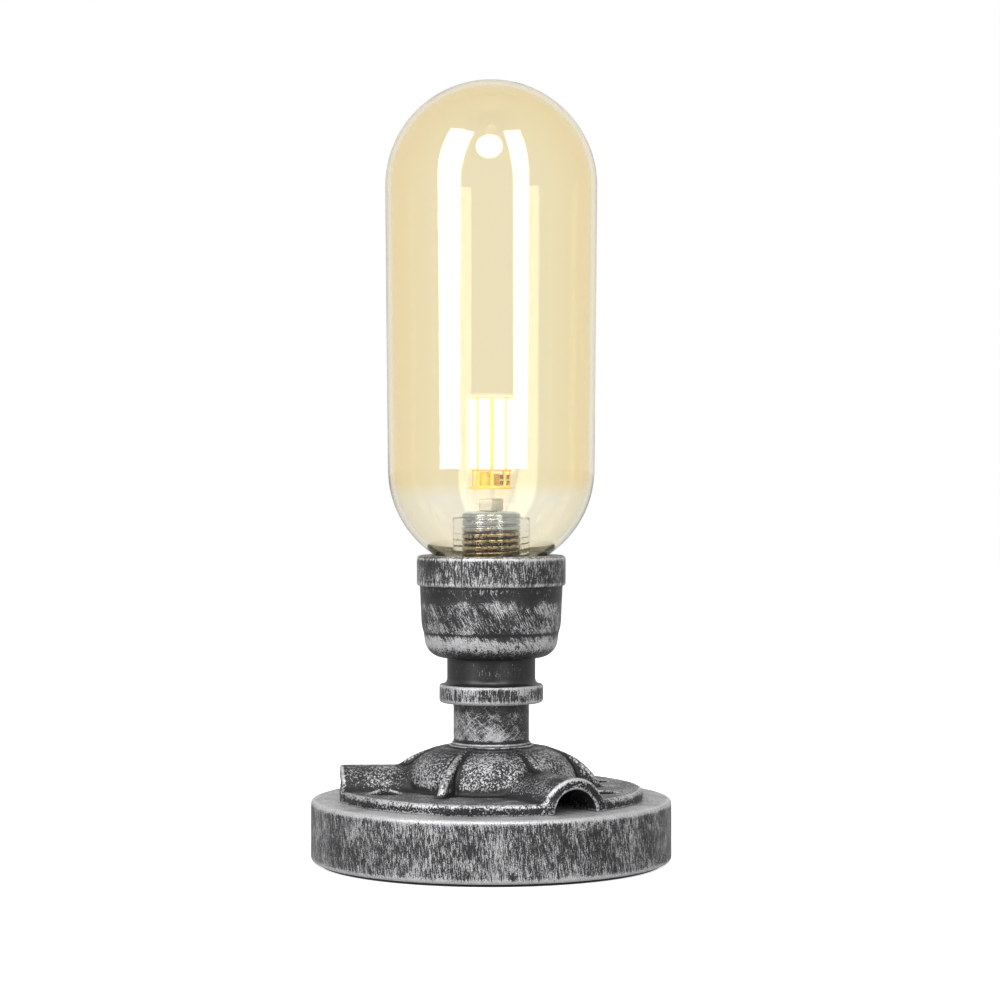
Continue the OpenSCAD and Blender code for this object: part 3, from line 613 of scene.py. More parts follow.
def cylinder(name, r, length, centre, turn=0.0, segments=64):
    """A cylinder along Z, or turned from there round X."""
    bm = bmesh.new()
    bmesh.ops.create_cone(bm, cap_ends=True, segments=segments, radius1=r * MM, radius2=r * MM,
                          depth=length * MM)
    obj = add_bmesh(name, bm)
    obj.data.transform(Matrix.Translation(Vector(centre) * MM) @ Matrix.Rotation(turn, 4, "X"))
    return obj


def block(name, centre, size, turn=0.0):
    bm = bmesh.new()
    bmesh.ops.create_cube(bm, size=1)
    bmesh.ops.scale(bm, vec=Vector(size) * MM, verts=bm.verts)
    bmesh.ops.rotate(bm, cent=(0, 0, 0), matrix=Matrix.Rotation(turn, 3, "Z"), verts=bm.verts)
    bmesh.ops.translate(bm, vec=Vector(centre) * MM, verts=bm.verts)
    return add_bmesh(name, bm)


def bake(obj):
    """Applies an object's modifiers to its mesh."""
    bpy.context.view_layer.update()
    deps = bpy.context.evaluated_depsgraph_get()
    mesh = bpy.data.meshes.new_from_object(obj.evaluated_get(deps), preserve_all_data_layers=True,
                                           depsgraph=deps)
    obj.modifiers.clear()
    old = obj.data
    obj.data = mesh
    bpy.data.meshes.remove(old)


def cut(obj, cutter):
    mod = obj.modifiers.new("cut", "BOOLEAN")
    mod.operation = "DIFFERENCE"
    mod.solver = "EXACT"
    mod.object = cutter
    bake(obj)
    bpy.data.objects.remove(cutter)


def bevelled(obj, width, segments):
    mod = obj.modifiers.new("bevel", "BEVEL")
    mod.width = width * MM
    mod.segments = segments
    mod.limit_method = "ANGLE"
    bake(obj)
    return crisp(obj, 40)


def join(first, *others):
    """Merges pieces of one finish into the first."""
    bm = bmesh.new()
    for obj in (first, *others):
        bm.from_mesh(obj.data)
    bm.to_mesh(first.data)
    bm.free()
    for obj in others:
        bpy.data.objects.remove(obj)
    return first


# Foot

def make_foot(material):
    recess_r, bore_r, edge, low_z = 42.0, 5.1, 1.2, low("base_disc").z
    outlet_r, outlet_length, outlet_middle = 5.0, 23.0, (0, 49.5, OUTLET_Z)
    outline = [(bore_r, FOOT_TOP), (bore_r, RECESS_TOP), (recess_r, RECESS_TOP), (recess_r, low_z)]
    outline += arc(FOOT_R - edge, low_z + edge, edge, -90, 0, 6)
    outline += arc(FOOT_R - edge, FOOT_TOP - edge, edge, 0, 90, 6)
    foot = revolve("foot", refine(outline, 0.5), 256)
    cut(foot, cylinder("outlet_cutter", outlet_r, outlet_length, outlet_middle, -math.pi / 2))
    dress(crisp(foot, 50), "lamp", "foot_paint", material, "base_disc")


# The cast flange, as one smooth field of distances

def soft_min(a, b, k):
    h = np.clip(0.5 + 0.5 * (b - a) / k, 0, 1)
    return b * (1 - h) + a * h - k * h * (1 - h)


def soft_max(a, b, k):
    return -soft_min(-a, -b, k)


class Flange:
    """Sizes of the casting and its field: negative inside the metal, in millimetres."""
    plate_r, plate_low, plate_top = PLATE_R, 21.0, 24.6
    hub_r, hub_top = 19.6, 38.3
    lip_r, lip_top = 14.2, 39.1
    panel_r, panel_z, panel_arc, wall = 17.0, 26.0, 11.5, 3.2
    sleeve_r = 16.2
    rib_r, rib_z, rib_arc, rib_half, rib_draft = 15.0, 13.7, 24.4, 1.4, 0.5
    tunnel_r, tunnel_wall, tunnel_z, tunnel_in = 8.2, 3.6, 20.5, 22.0
    hole_r, hole_x, hole_y = 5.1, 35.35, 16.48
    bore_r = PIPE_R

    @staticmethod
    def fold(x, y, first, step):
        """Distance along and across the nearest of several spokes."""
        a = np.arctan2(y, x) - math.radians(first)
        s = math.radians(step)
        a = np.mod(a + s / 2, s) - s / 2
        r = np.hypot(x, y)
        return r * np.cos(a), r * np.sin(a)

    @classmethod
    def dome(cls, r, z, arc_r):
        above = np.where(r > cls.panel_r, np.hypot(r - cls.panel_r, z - cls.panel_z), z - cls.panel_z)
        return np.where(z > cls.panel_z, above, r - cls.panel_r) - arc_r

    @classmethod
    def rib(cls, x, y, z):
        u, t = cls.fold(x, y, 0, 60)
        rho = np.hypot(u - cls.rib_r, z - cls.rib_z)
        crest = cls.rib_arc - cls.rib_half
        side = np.abs(t) - cls.rib_half - cls.rib_draft * np.clip((crest - rho) / 6, 0, 1)
        return np.where(rho > crest, np.hypot(rho - crest, t) - cls.rib_half, side)

    @classmethod
    def tunnel(cls, x, y, z, r):
        u, t = cls.fold(x, y, 180, 120)
        return np.maximum(np.hypot(t, z - cls.tunnel_z) - r, cls.tunnel_in - u)

    @classmethod
    def field(cls, x, y, z):
        r = np.hypot(x, y)
        plate = soft_max(r - cls.plate_r, z - cls.plate_top, 1.3)
        body = soft_min(plate, cls.dome(r, z, cls.panel_arc), 2.2)
        arch = soft_max(cls.tunnel(x, y, z, cls.tunnel_r + cls.tunnel_wall), r - cls.plate_r, 1.0)
        body = soft_min(body, arch, 2.6)
        hub = soft_max(r - cls.hub_r, z - cls.hub_top, 3.6)
        umbrella = soft_min(hub, np.maximum(cls.rib(x, y, z), z - cls.hub_top), 1.8)
        body = soft_min(body, umbrella, 1.0)
        body = soft_min(body, soft_max(r - cls.lip_r, z - cls.lip_top, 0.5), 0.5)
        body = soft_max(body, cls.plate_low - z, 0.3)
        body = soft_max(body, -cls.tunnel(x, y, z, cls.tunnel_r), 0.7)
        hollow = np.maximum(cls.dome(r, z, cls.panel_arc - cls.wall), cls.sleeve_r - r)
        body = np.maximum(body, -hollow)
        body = soft_max(body, cls.bore_r - r, 0.3)
        hole = np.hypot(np.abs(x) - cls.hole_x, np.abs(y) - cls.hole_y) - cls.hole_r
        return soft_max(body, -np.maximum(hole, z - cls.plate_top - 1.0), 0.5)


def slope(field, p, h):
    """Gradient and Laplacian of a field at points p, from steps of h."""
    centre = field(*p.T)
    grad = np.zeros_like(p)
    lap = -6 * centre
    for k in range(3):
        step = np.zeros(3)
        step[k] = h
        up, down = field(*(p + step).T), field(*(p - step).T)
        grad[:, k] = (up - down) / (2 * h)
        lap += up + down
    return centre, grad, lap / h ** 2


def surface_points(values, axes):
    """One point for each grid cell that the surface crosses, at the mean of its edge crossings."""
    inside = values < 0
    shape = np.array(values.shape) - 1
    total = np.zeros((*shape, 3))
    count = np.zeros(shape)
    corner = [tuple(slice((bits >> k) & 1, ((bits >> k) & 1) + shape[k]) for k in range(3))
              for bits in range(8)]
    for a in range(8):
        for k in range(3):
            b = a | (1 << k)
            if b == a:
                continue
            va, vb = values[corner[a]], values[corner[b]]
            cross = inside[corner[a]] != inside[corner[b]]
            t = np.where(cross, va / np.where(cross, va - vb, 1), 0)
            for m in range(3):
                base = float((a >> m) & 1)
                total[..., m] += np.where(cross, base + (t if m == k else 0), 0)
            count += cross
    cells = np.argwhere(count > 0)
    index = -np.ones(shape, int)
    index[tuple(cells.T)] = np.arange(len(cells))
    local = total[tuple(cells.T)] / count[tuple(cells.T)][:, None]
    step = np.array([ax[1] - ax[0] for ax in axes])
    origin = np.array([ax[0] for ax in axes])
    return origin + (cells + local) * step, index, inside


def surface_quads(index, inside):
    """A quad round each grid edge that the surface crosses, facing out of the metal."""
    quads = []
    for k in range(3):
        i, j = [m for m in range(3) if m != k]
        lo = [slice(1, -1)] * 3
        lo[k] = slice(0, -1)
        hi = list(lo)
        hi[k] = slice(1, None)
        a, b = inside[tuple(lo)], inside[tuple(hi)]
        where = np.argwhere(a != b)
        where += np.array([0 if m == k else 1 for m in range(3)])
        flip = a[a != b]
        ring = []
        for di, dj in ((0, 0), (-1, 0), (-1, -1), (0, -1)):
            cell = where.copy()
            cell[:, i] += di
            cell[:, j] += dj
            ring.append(index[tuple(cell.T)])
        q = np.stack(ring, 1)
        turn = flip if k != 1 else ~flip
        q[~turn] = q[~turn][:, ::-1]
        quads.append(q)
    return np.concatenate(quads)


def make_flange(material):
    step, near, wide, swell_height = 0.55, 0.05, 0.45, 0.16
    reach = Flange.plate_r + 1.5
    axes = [np.arange(-reach, reach, step), np.arange(-reach, reach, step),
            np.arange(Flange.plate_low - 1.2, Flange.lip_top + 1.5, step)]
    grid = np.meshgrid(*axes, indexing="ij")
    points, index, inside = surface_points(Flange.field(*grid), axes)
    quads = surface_quads(index, inside)
    for _ in range(4):
        value, grad, _lap = slope(Flange.field, points, near)
        size = np.maximum((grad ** 2).sum(1), 0.05)
        points = points - np.clip(value / size, -0.3, 0.3)[:, None] * grad
    _value, grad, lap = slope(Flange.field, points, wide)
    normal = grad / np.maximum(np.linalg.norm(grad, axis=1), 1e-6)[:, None]
    looks = flange_looks(points, normal, lap)
    swell = [noise.noise(Vector(p) * 0.75) * 0.6 + noise.noise(Vector(p) * 1.6) * 0.4 for p in points]
    points = points + normal * (np.array(swell) * swell_height * looks["grain"])[:, None]
    points[:, 2] = np.maximum(points[:, 2], Flange.plate_low)
    obj = add_mesh("cast_flange", points, quads.tolist())
    for name, values in looks.items():
        paint(obj.data, name, values)
    obj.data.shade_smooth()
    dress(obj, "lamp", "flange_paint", material, "flange")


def flange_looks(p, normal, lap):
    """Marks for the finish: ridges where the silver wears on, hollows that get less silver and painted
    shade, grainy walls and the flat plate.
    """
    x, y, z = p.T
    r = np.hypot(x, y)
    near_dome = np.abs(Flange.dome(r, z, Flange.panel_arc))
    arch = np.abs(Flange.tunnel(x, y, z, Flange.tunnel_r + Flange.tunnel_wall))
    rib = Flange.rib(x, y, z)
    outside = np.minimum(near_dome, arch)
    grain = np.clip(1.2 - outside / 0.5, 0, 1) * np.clip((rib - 0.4) / 1.0, 0, 1)
    grain *= np.clip((Flange.hub_r + 10 - r) / 1, 0.4, 1)
    grain *= (r > Flange.hub_r - 0.5) * (z > Flange.plate_top + 0.6)
    flat = np.clip((normal[:, 2] - 0.9) / 0.08, 0, 1) * (np.abs(z - Flange.plate_top) < 0.5)
    return {"wear": np.clip((lap - 0.12) * 1.1, 0, 1), "cavity": np.clip((-lap - 0.10) * 1.6, 0, 1),
            "grain": grain, "flat": flat}


# Pipe and coupling

def spun(name, outline, step, segments, sharp, slot, material, node):
    """A fixed piece of the lamp that is one spun outline."""
    dress(crisp(revolve(name, refine(outline, step), segments), sharp), "lamp", slot, material, node)


def make_pipe(material):
    (low_z, top_z), lip, in_r = ends("pipe_nipple"), high("flange").z, 9.5
    outline = [(in_r, top_z), (in_r, low_z), (PIPE_R, low_z), (PIPE_R, lip)]
    outline += arc(PIPE_R + 0.15, lip + 0.45, 0.45, -90, 90, 6)
    outline += [(PIPE_R, lip + 0.95), (PIPE_R, top_z)]
    spun("pipe", outline, 1.2, 128, 60, "pipe_paint", material, "pipe_nipple")


def make_coupling(material):
    c0, top = ends("reducing_coupling")
    ring_r, neck_r, band_r, mouth_r, bowl_in_r, neck_in_r = 17.3, 14.7, 24.8, 19.9, 18.4, 10.5
    ring_top, pipe_end, bowl, band, seat_z = c0 + 6.1, c0 + 8.4, c0 + 15.0, c0 + 38.8, 93.5
    outline = [(mouth_r, top - 0.8), (mouth_r, seat_z), (bowl_in_r, seat_z), (bowl_in_r, bowl + 10.4),
               (neck_in_r, bowl + 4), (neck_in_r, pipe_end), (PIPE_R, pipe_end), (PIPE_R, c0)]
    outline += arc(ring_r - 1.1, c0 + 1.1, 1.1, -90, 0, 6)
    outline += arc(ring_r - 0.7, ring_top - 0.7, 0.7, 0, 85, 5)
    outline += arc(neck_r + 2.0, ring_top + 2.0, 2.0, 262, 180, 8)
    outline += arc(neck_r + 0.7, bowl - 0.7, 0.7, 180, 90, 5)
    outline += arc(15.8, bowl + 6.4, 6.4, -88, -8, 12)
    outline += arc(9.3, bowl + 13, 14.0, -20, 0, 8) + [(23.75, band - 0.8)]
    outline += arc(band_r - 1.0, band + 1.0, 1.0, -90, 0, 6)
    outline += arc(band_r - 1.3, top - 1.3, 1.3, 0, 90, 8) + [(20.7, top)]
    spun("coupling", outline, 0.5, 192, 70, "coupling_paint", material, "reducing_coupling")


# Shade

def glass_bottom(r):
    """Height of the glass's rounded lower end at that radius."""
    return GLASS_LOW_Z - math.sqrt(GLASS_LOW_R ** 2 - r ** 2)


def make_glass(material):
    wall, top_r, hole_r = 1.8, 35.3, 12.95
    dome_z = high("glass_shade").z - top_r
    outer_low, inner_low = (math.degrees(math.acos(hole_r / r)) for r in (GLASS_LOW_R, GLASS_LOW_R - wall))
    outline = arc(0, GLASS_LOW_Z, GLASS_LOW_R, -outer_low, 0, 40)
    outline += arc(0, dome_z, top_r, 0, 90, 56)
    outline += arc(0, dome_z, top_r - wall, 90, 0, 56)
    outline += arc(0, GLASS_LOW_Z, GLASS_LOW_R - wall, 0, -inner_low, 40)
    glass = crisp(revolve("glass", [(0.0 if r < 1e-4 else r, z) for r, z in outline], 192), 50)
    glass.visible_shadow = False
    dress(glass, "shade", "amber_glass", material, "glass_shade")


def make_collar(material):
    (low_z, top_z), in_r, out_r, shoulder_r, rest = ends("thread_collar"), 10.45, 12.85, 15.0, 1.6
    rise = glass_bottom(shoulder_r) - glass_bottom(out_r)
    outline = [(in_r, top_z - 0.4), (in_r, low_z + 0.5), (in_r + 0.5, low_z), (shoulder_r - 0.3, low_z),
               (shoulder_r, low_z + 0.3), (shoulder_r, low_z + rest + rise), (out_r, low_z + rest),
               (out_r, top_z - 0.3), (out_r - 0.3, top_z), (in_r + 0.4, top_z)]
    collar = revolve("collar", refine(outline, 1.2, in_r, 0.14), 144,
                     thread(in_r, 2.0, low_z + 0.6, top_z - 0.8, 0.07, outward=False))
    crisp(collar, 50).visible_shadow = False
    dress(collar, "shade", "clear_collar", material, "thread_collar")


# Lampholder

def make_shell(material):
    low_z, top_z = ends("socket_shell")
    in_r, seat_z, seat_r, rod_z, rod_r = SHELL_R - 1.0, 103.0, 7.65, 99.6, 5.0
    outline = [(in_r, top_z - 0.2), (in_r, seat_z), (seat_r, seat_z), (seat_r, rod_z), (rod_r, rod_z),
               (rod_r, low_z), (SHELL_R - 0.4, low_z), (SHELL_R, low_z + 0.4), (SHELL_R, top_z - 0.5),
               (SHELL_R - 0.5, top_z), (in_r + 0.2, top_z)]
    shell = revolve("holder_shell", refine(outline, 1.2, SHELL_R, 0.14), 144,
                    thread(SHELL_R, 2.0, low_z + 1.4, top_z - 1.2, 0.55))
    dress(crisp(shell, 50), "lamp", "nickel", material, "socket_shell")


def make_ceramic(material):
    (low_z, top_z), r, slot_z, slot = ends("socket_ceramic"), 8.65, 104.0, (3.8, 2.6)
    outline = [(0, low_z), (r - 0.4, low_z), (r, low_z + 0.4)]
    outline += arc(r - 0.5, top_z - 0.5, 0.5, 0, 90, 6) + [(0, top_z)]
    body = revolve("holder_ceramic", refine(outline, 1.0), 96)
    for side in (-1, 1):
        x, y = PIN_WAY * side * PIN_APART
        middle = (x, y, (slot_z + top_z + 1) / 2)
        cut(body, block("slot_cutter", middle, (*slot, top_z + 1 - slot_z), PIN_TURN))
        middle = (x, y, (low_z + slot_z) / 2)
        cut(body, cylinder("tail_cutter", 0.9, slot_z - low_z + 2, middle, segments=24))
    dress(crisp(body, 40), "lamp", "holder_ceramic", material, "socket_ceramic")


def make_rings(disc_paint, rubber, zinc, felt_cloth):
    z0, z1 = ends("mouth_disc")
    outline = [(5.1, z1), (5.1, z0), (19.6, z0), (19.8, z0 + 0.2), (19.8, z1 - 0.3), (19.5, z1),
               (17.2, z1), (17.0, z1 - 0.15), (15.9, z1 - 0.15), (15.7, z1)]
    spun("mouth_cover", outline, 1.0, 144, 40, "disc_paint", disc_paint, "mouth_disc")
    z0, z1 = ends("seal_ring")
    mid = (z0 + z1) / 2
    outline = arc(14.3, mid, 0.7, -90, 90, 8) + arc(11.2, mid, 0.7, 90, 270, 8)
    outline = [(r, min(z1, max(z0, mid + (z - mid) * 1.143))) for r, z in outline]
    dress(revolve("seal", refine(outline, 0.8), 144), "lamp", "seal_rubber", rubber, "seal_ring")
    z0, z1 = ends("rod_washer")
    outline = [(5.1, z1), (5.1, z0), (11.7, z0), (12, z0 + 0.3), (12, z1 - 0.1), (11.9, z1)]
    spun("washer", outline, 1.0, 96, 40, "zinc", zinc, "rod_washer")
    r, top = 57.6, high("felt_pad").z
    outline = [(0, 0), (r - 0.3, 0), (r, 0.25), (r, top - 0.1), (r - 0.1, top), (0, top)]
    spun("felt", outline, 2.0, 192, 40, "felt", felt_cloth, "felt_pad")


def make_rod(material):
    (z0, z1), r, bore = ends("threaded_rod"), 5.0, 3.5
    outline = [(bore, z1), (bore, z0), (r - 0.5, z0), (r, z0 + 0.5), (r, z1 - 0.5), (r - 0.5, z1)]
    rod = revolve("hollow_rod", refine(outline, 1.2, r, 0.17), 48, thread(r, 1.0, z0, z1, 0.5))
    dress(crisp(rod, 60), "lamp", "zinc", material, "threaded_rod")


def make_grommet(material):
    inner, outer, bore, r, lip = low("cord_grommet").y, high("cord_grommet").y, 3.25, 5.0, 6.0
    outline = arc(bore + 0.5, inner + 0.5, 0.5, 180, 270, 4)
    outline += arc(lip - 0.5, inner + 0.5, 0.5, 270, 360, 4)
    outline += arc(lip - 0.3, inner + 1.2, 0.3, 0, 90, 3) + [(r, inner + 1.5)]
    outline += arc(r - 0.5, outer - 0.5, 0.5, 0, 90, 4) + arc(bore + 0.6, outer - 0.6, 0.6, 90, 180, 4)
    grommet = revolve("grommet", refine(outline, 1.0), 64)
    lie_down = Matrix.Rotation(-math.pi / 2, 4, "X")
    grommet.data.transform(Matrix.Translation((0, 0, OUTLET_Z * MM)) @ lie_down)
    dress(crisp(grommet, 50), "lamp", "grommet_rubber", material, "cord_grommet")


# Bulb

def make_bulb(cover_glass, ceramic, steel, phosphor, gold, chip_black):
    (z0, z1), r, wall, round_r, fillet = ends("bulb_cover"), 8.35, 0.8, 2.2, 0.8
    floor_z = low("driver_board").z
    outline = [(0, z0), (r - 0.3, z0), (r, z0 + 0.3)]
    outline += arc(r - round_r, z1 - round_r, round_r, 0, 90, 10) + [(0, z1), (0, z1 - wall)]
    outline += arc(r - round_r, z1 - round_r, round_r - wall, 90, 0, 8)
    outline += arc(r - wall - fillet, floor_z + fillet, fillet, 360, 270, 5) + [(0, floor_z)]
    cover = revolve("bulb_cover_clear", outline, 96)
    cut(cover, block("pinch_cutter", (0, 0, z0 - 0.5), (13.2, 4.8, 4), PIN_TURN))
    crisp(cover, 50).visible_shadow = False
    dress(cover, "bulb", "bulb_clear", cover_glass, "bulb_cover")
    z0 = low("bulb_base").z
    pinch = bevelled(block("pinch", (0, 0, z0 + 2.02), (13, 4.6, 4.04), PIN_TURN), 0.6, 3)
    dress(pinch, "bulb", "bulb_grey", ceramic, "bulb_base")
    make_pins(steel)
    dress(copies_round_core(phosphor), "bulb", "led_phosphor", phosphor, "led_strips")
    make_driver(gold, chip_black, steel)


def make_pins(material):
    top_z, length, loop, wire = low("bulb_base").z, 12.0, 2.2, 0.4
    bend_z = top_z - length + loop / 2 + wire
    way = Vector((*PIN_WAY, 0))
    loops = []
    for side in (-1, 1):
        centre = way * side * PIN_APART
        down = [centre - way * loop / 2 + Vector((0, 0, z)) for z in np.linspace(top_z, bend_z, 8)]
        turn = [centre + way * (-math.cos(a) * loop / 2) + Vector((0, 0, bend_z - math.sin(a) * loop / 2))
                for a in np.linspace(0, math.pi, 13)[1:-1]]
        up = [centre + way * loop / 2 + Vector((0, 0, z)) for z in np.linspace(bend_z, top_z, 8)]
        loops.append(tube("pin", down + turn + up, wire, 12))
    dress(join(*loops), "bulb", "pin_steel", material, "bulb_pins")


def make_driver(gold, chip_black, tin):
    z0, z1 = ends("driver_board")
    board = revolve("driver_board_round", [(0, z0 + 0.05), (7, z0 + 0.05), (7.2, z0 + 0.25),
                                           (7.2, z0 + 0.8), (7, z0 + 1), (0, z0 + 1)], 64)
    can = revolve("can", [(0, z0 + 1), (1.8, z0 + 1), (1.95, z0 + 1.2), (1.8, z0 + 1.5), (1.95, z0 + 1.8),
                          (1.95, z1 - 0.5), (1.75, z1 - 0.3), (1.3, z1 - 0.3), (1.2, z1 - 0.45),
                          (0, z1 - 0.45)], 32)
    small = revolve("small_can", [(0, z0 + 1), (1.3, z0 + 1), (1.45, z0 + 1.2), (1.45, z1 - 0.5),
                                  (1.2, z1 - 0.2), (0, z1 - 0.2)], 24)
    for part, spot in ((can, (-2.2, -2.4, 0)), (small, (-2, 2.6, 0))):
        part.data.transform(Matrix.Translation(Vector(spot) * MM))
    dress(crisp(join(board, can, small), 40), "bulb", "driver_gold", gold, "driver_board")
    chip_x, foot_r = 4.3, 6.2
    chips = [(chip_x, -3.05, z0 + h, 0) for h in (2.0, 4.0)]
    legs = [(chip_x + k * 0.8, -4.3, z0 + h, 0) for k in (-1.5, -0.5, 0.5, 1.5) for h in (1.4, 3.1)]
    feet = [(foot_r * math.cos(a), foot_r * math.sin(a), (z0 + z1 + 1) / 2, a)
            for a in (math.radians(45 * k) for k in range(8))]
    for name, spots, size, bevel, segments, material in (
            ("driver_chip", chips, (3.1, 2.2, 1.5), 0.12, 2, chip_black),
            ("driver_coil", [(1.8, 2.2, z0 + 3.1, 0)], (2.3, 3.4, 4.0), 0.4, 3, gold),
            ("driver_leg", legs, (0.35, 0.3, 0.9), 0.08, 1, tin),
            ("core_foot", feet, (0.5, 1.1, z1 - z0 - 1), 0.08, 1, gold)):
        parts = [bevelled(block(name, spot, size, turn), bevel, segments) for *spot, turn in spots]
        dress(join(*parts), "bulb", "driver_gold", material)


# Repeats, made by node trees

class Tree(Nodes):
    """A geometry tree whose sizes are named inputs."""

    def __init__(self, name, sizes, takes_points=False):
        super().__init__(bpy.data.node_groups.new(name, "GeometryNodeTree"))
        face = self.tree.interface
        face.new_socket("Geometry", in_out="OUTPUT", socket_type="NodeSocketGeometry")
        if takes_points:
            face.new_socket("Geometry", in_out="INPUT", socket_type="NodeSocketGeometry")
        for key, value in sizes.items():
            kind = "NodeSocketInt" if isinstance(value, int) else "NodeSocketFloat"
            face.new_socket(key, in_out="INPUT", socket_type=kind)
        self.start = self.node("NodeGroupInput")
        self.end = self.node("NodeGroupOutput")
        self.sizes = sizes

    def size(self, key):
        return Value(self, self.start.outputs[key])

    def box(self, x, y, z):
        return self.get("GeometryNodeMeshCube", Size=self.vector(x, y, z))

    def rod(self, vertices, diameter, length):
        return self.get("GeometryNodeMeshCylinder", "Mesh", Vertices=vertices, Radius=diameter * 0.5,
                        Depth=length)

    def moved(self, geometry, x=0.0, z=0.0):
        return self.get("GeometryNodeTransform", Geometry=geometry, Translation=self.vector(x, 0.0, z))

    def joined(self, *parts):
        n = self.node("GeometryNodeJoinGeometry")
        for part in parts:
            self.put(n.inputs[0], part)
        return Value(self, n.outputs[0])

    def run(self, name, geometry, material, places=()):
        """Runs the tree on a mesh of bare points and keeps the result as a plain mesh."""
        real = self.get("GeometryNodeRealizeInstances", Geometry=geometry)
        self.put(self.end.inputs[0], self.get("GeometryNodeSetMaterial", Geometry=real, Material=material))
        obj = add_mesh(name, places, [])
        mod = obj.modifiers.new(name, "NODES")
        mod.node_group = self.tree
        for item in self.tree.interface.items_tree:
            if item.in_out == "INPUT" and item.name in self.sizes:
                mod[item.identifier] = self.sizes[item.name]
        bake(obj)
        return obj


def copies_round_core(material):
    """The bulb's light chips: rows up each face of the eight-sided core, over a phosphor strip."""
    face_r = 6.7 * math.cos(math.pi / 8)
    t = Tree("light_chips", {"Faces": 8, "Rows": 8, "Row pitch": CHIP_PITCH * MM, "Chip width": 2.9 * MM,
                             "Chip height": 2.6 * MM, "Chip depth": 1.0 * MM, "Core radius": face_r * MM,
                             "Strip height": 23.4 * MM, "Strip width": 3.8 * MM, "Strip depth": 0.55 * MM})
    core_r, chip_depth, strip_depth = (t.size(key) for key in ("Core radius", "Chip depth", "Strip depth"))
    first = t.vector(core_r + chip_depth * 0.5, 0.0, (STRIP_LOW + 1.55) * MM)
    rows = t.get("GeometryNodeMeshLine", Count=t.size("Rows"), Offset=t.vector(z=t.size("Row pitch")),
                 Start_Location=first)
    column = t.get("GeometryNodeInstanceOnPoints", Points=rows,
                   Instance=t.box(chip_depth, t.size("Chip width"), t.size("Chip height")))
    strip = t.moved(t.box(strip_depth, t.size("Strip width"), t.size("Strip height")),
                    core_r + strip_depth * 0.5, (STRIP_LOW + 11.7) * MM)
    hub = t.get("GeometryNodeMeshLine", Count=t.size("Faces"), Offset=t.vector())
    step = t.math("DIVIDE", 2 * math.pi, t.size("Faces"))
    turn = t.vector(z=(t.get("GeometryNodeInputIndex") + 0.5) * step)
    ring = t.get("GeometryNodeInstanceOnPoints", Points=hub, Instance=t.joined(column, strip),
                 Rotation=turn)
    return t.run("light_chips", ring, material)


def slotted_screws(name, node, places, sizes, slot, material):
    """Slotted screws with their heads down, at the given points on the screws' seats."""
    keys = ("Head diameter", "Head height", "Slot width", "Slot depth", "Shank diameter", "Shank length")
    t = Tree("slotted_screw", {key: size * MM for key, size in zip(keys, sizes)}, takes_points=True)
    width, height, slot_width, slot_depth, shank_width, length = (t.size(key) for key in keys)
    drop = height * -0.5
    groove = t.moved(t.box(width * 1.4, slot_width, slot_depth), z=drop)
    head = t.get("GeometryNodeMeshBoolean", 0, {"operation": "DIFFERENCE"},
                 Mesh_1=t.rod(32, width, height), Mesh_2=groove)
    shank = t.moved(t.rod(24, shank_width, length), z=length * 0.498)
    screws = t.get("GeometryNodeInstanceOnPoints", Points=t.size("Geometry"),
                   Instance=t.joined(t.moved(head, z=drop), shank))
    dress(crisp(t.run(name, screws, material, places), 40), "lamp", slot, material, node)


# Wiring

def smooth_route(points, parts=6):
    """A curve through the points, as a Catmull-Rom spline."""
    pts = [Vector(p) for p in points]
    pts = [pts[0] * 2 - pts[1]] + pts + [pts[-1] * 2 - pts[-2]]
    out = []
    for a, b, c, d in zip(pts, pts[1:], pts[2:], pts[3:]):
        for k in range(parts):
            t = k / parts
            out.append(0.5 * (2 * b + (c - a) * t + (2 * a - 5 * b + 4 * c - d) * t ** 2
                              + (3 * b - a - 3 * c + d) * t ** 3))
    return out + [pts[-2]]


def tube(name, route, r, sides=16):
    """A closed tube along a route of points in mm."""
    rings = []
    side = None
    for i, p in enumerate(route):
        t = (route[min(i + 1, len(route) - 1)] - route[max(i - 1, 0)]).normalized()
        if side is None:
            side = t.orthogonal().normalized()
        side = (side - t * side.dot(t)).normalized()
        other = t.cross(side)
        rings += [p + (side * math.cos(a) + other * math.sin(a)) * r
                  for a in (2 * math.pi * k / sides for k in range(sides))]
    faces = [[i * sides + k, i * sides + (k + 1) % sides, (i + 1) * sides + (k + 1) % sides,
              (i + 1) * sides + k] for i in range(len(route) - 1) for k in range(sides)]
    last = (len(route) - 1) * sides
    faces += [list(range(sides))[::-1], [last + k for k in range(sides)]]
    return crisp(add_mesh(name, rings, faces), 50)


def add_wire(name, points, material):
    dress(tube("wire_" + name, smooth_route(points), 0.8), "lamp", "wire_" + name, material,
          name + "_wire")


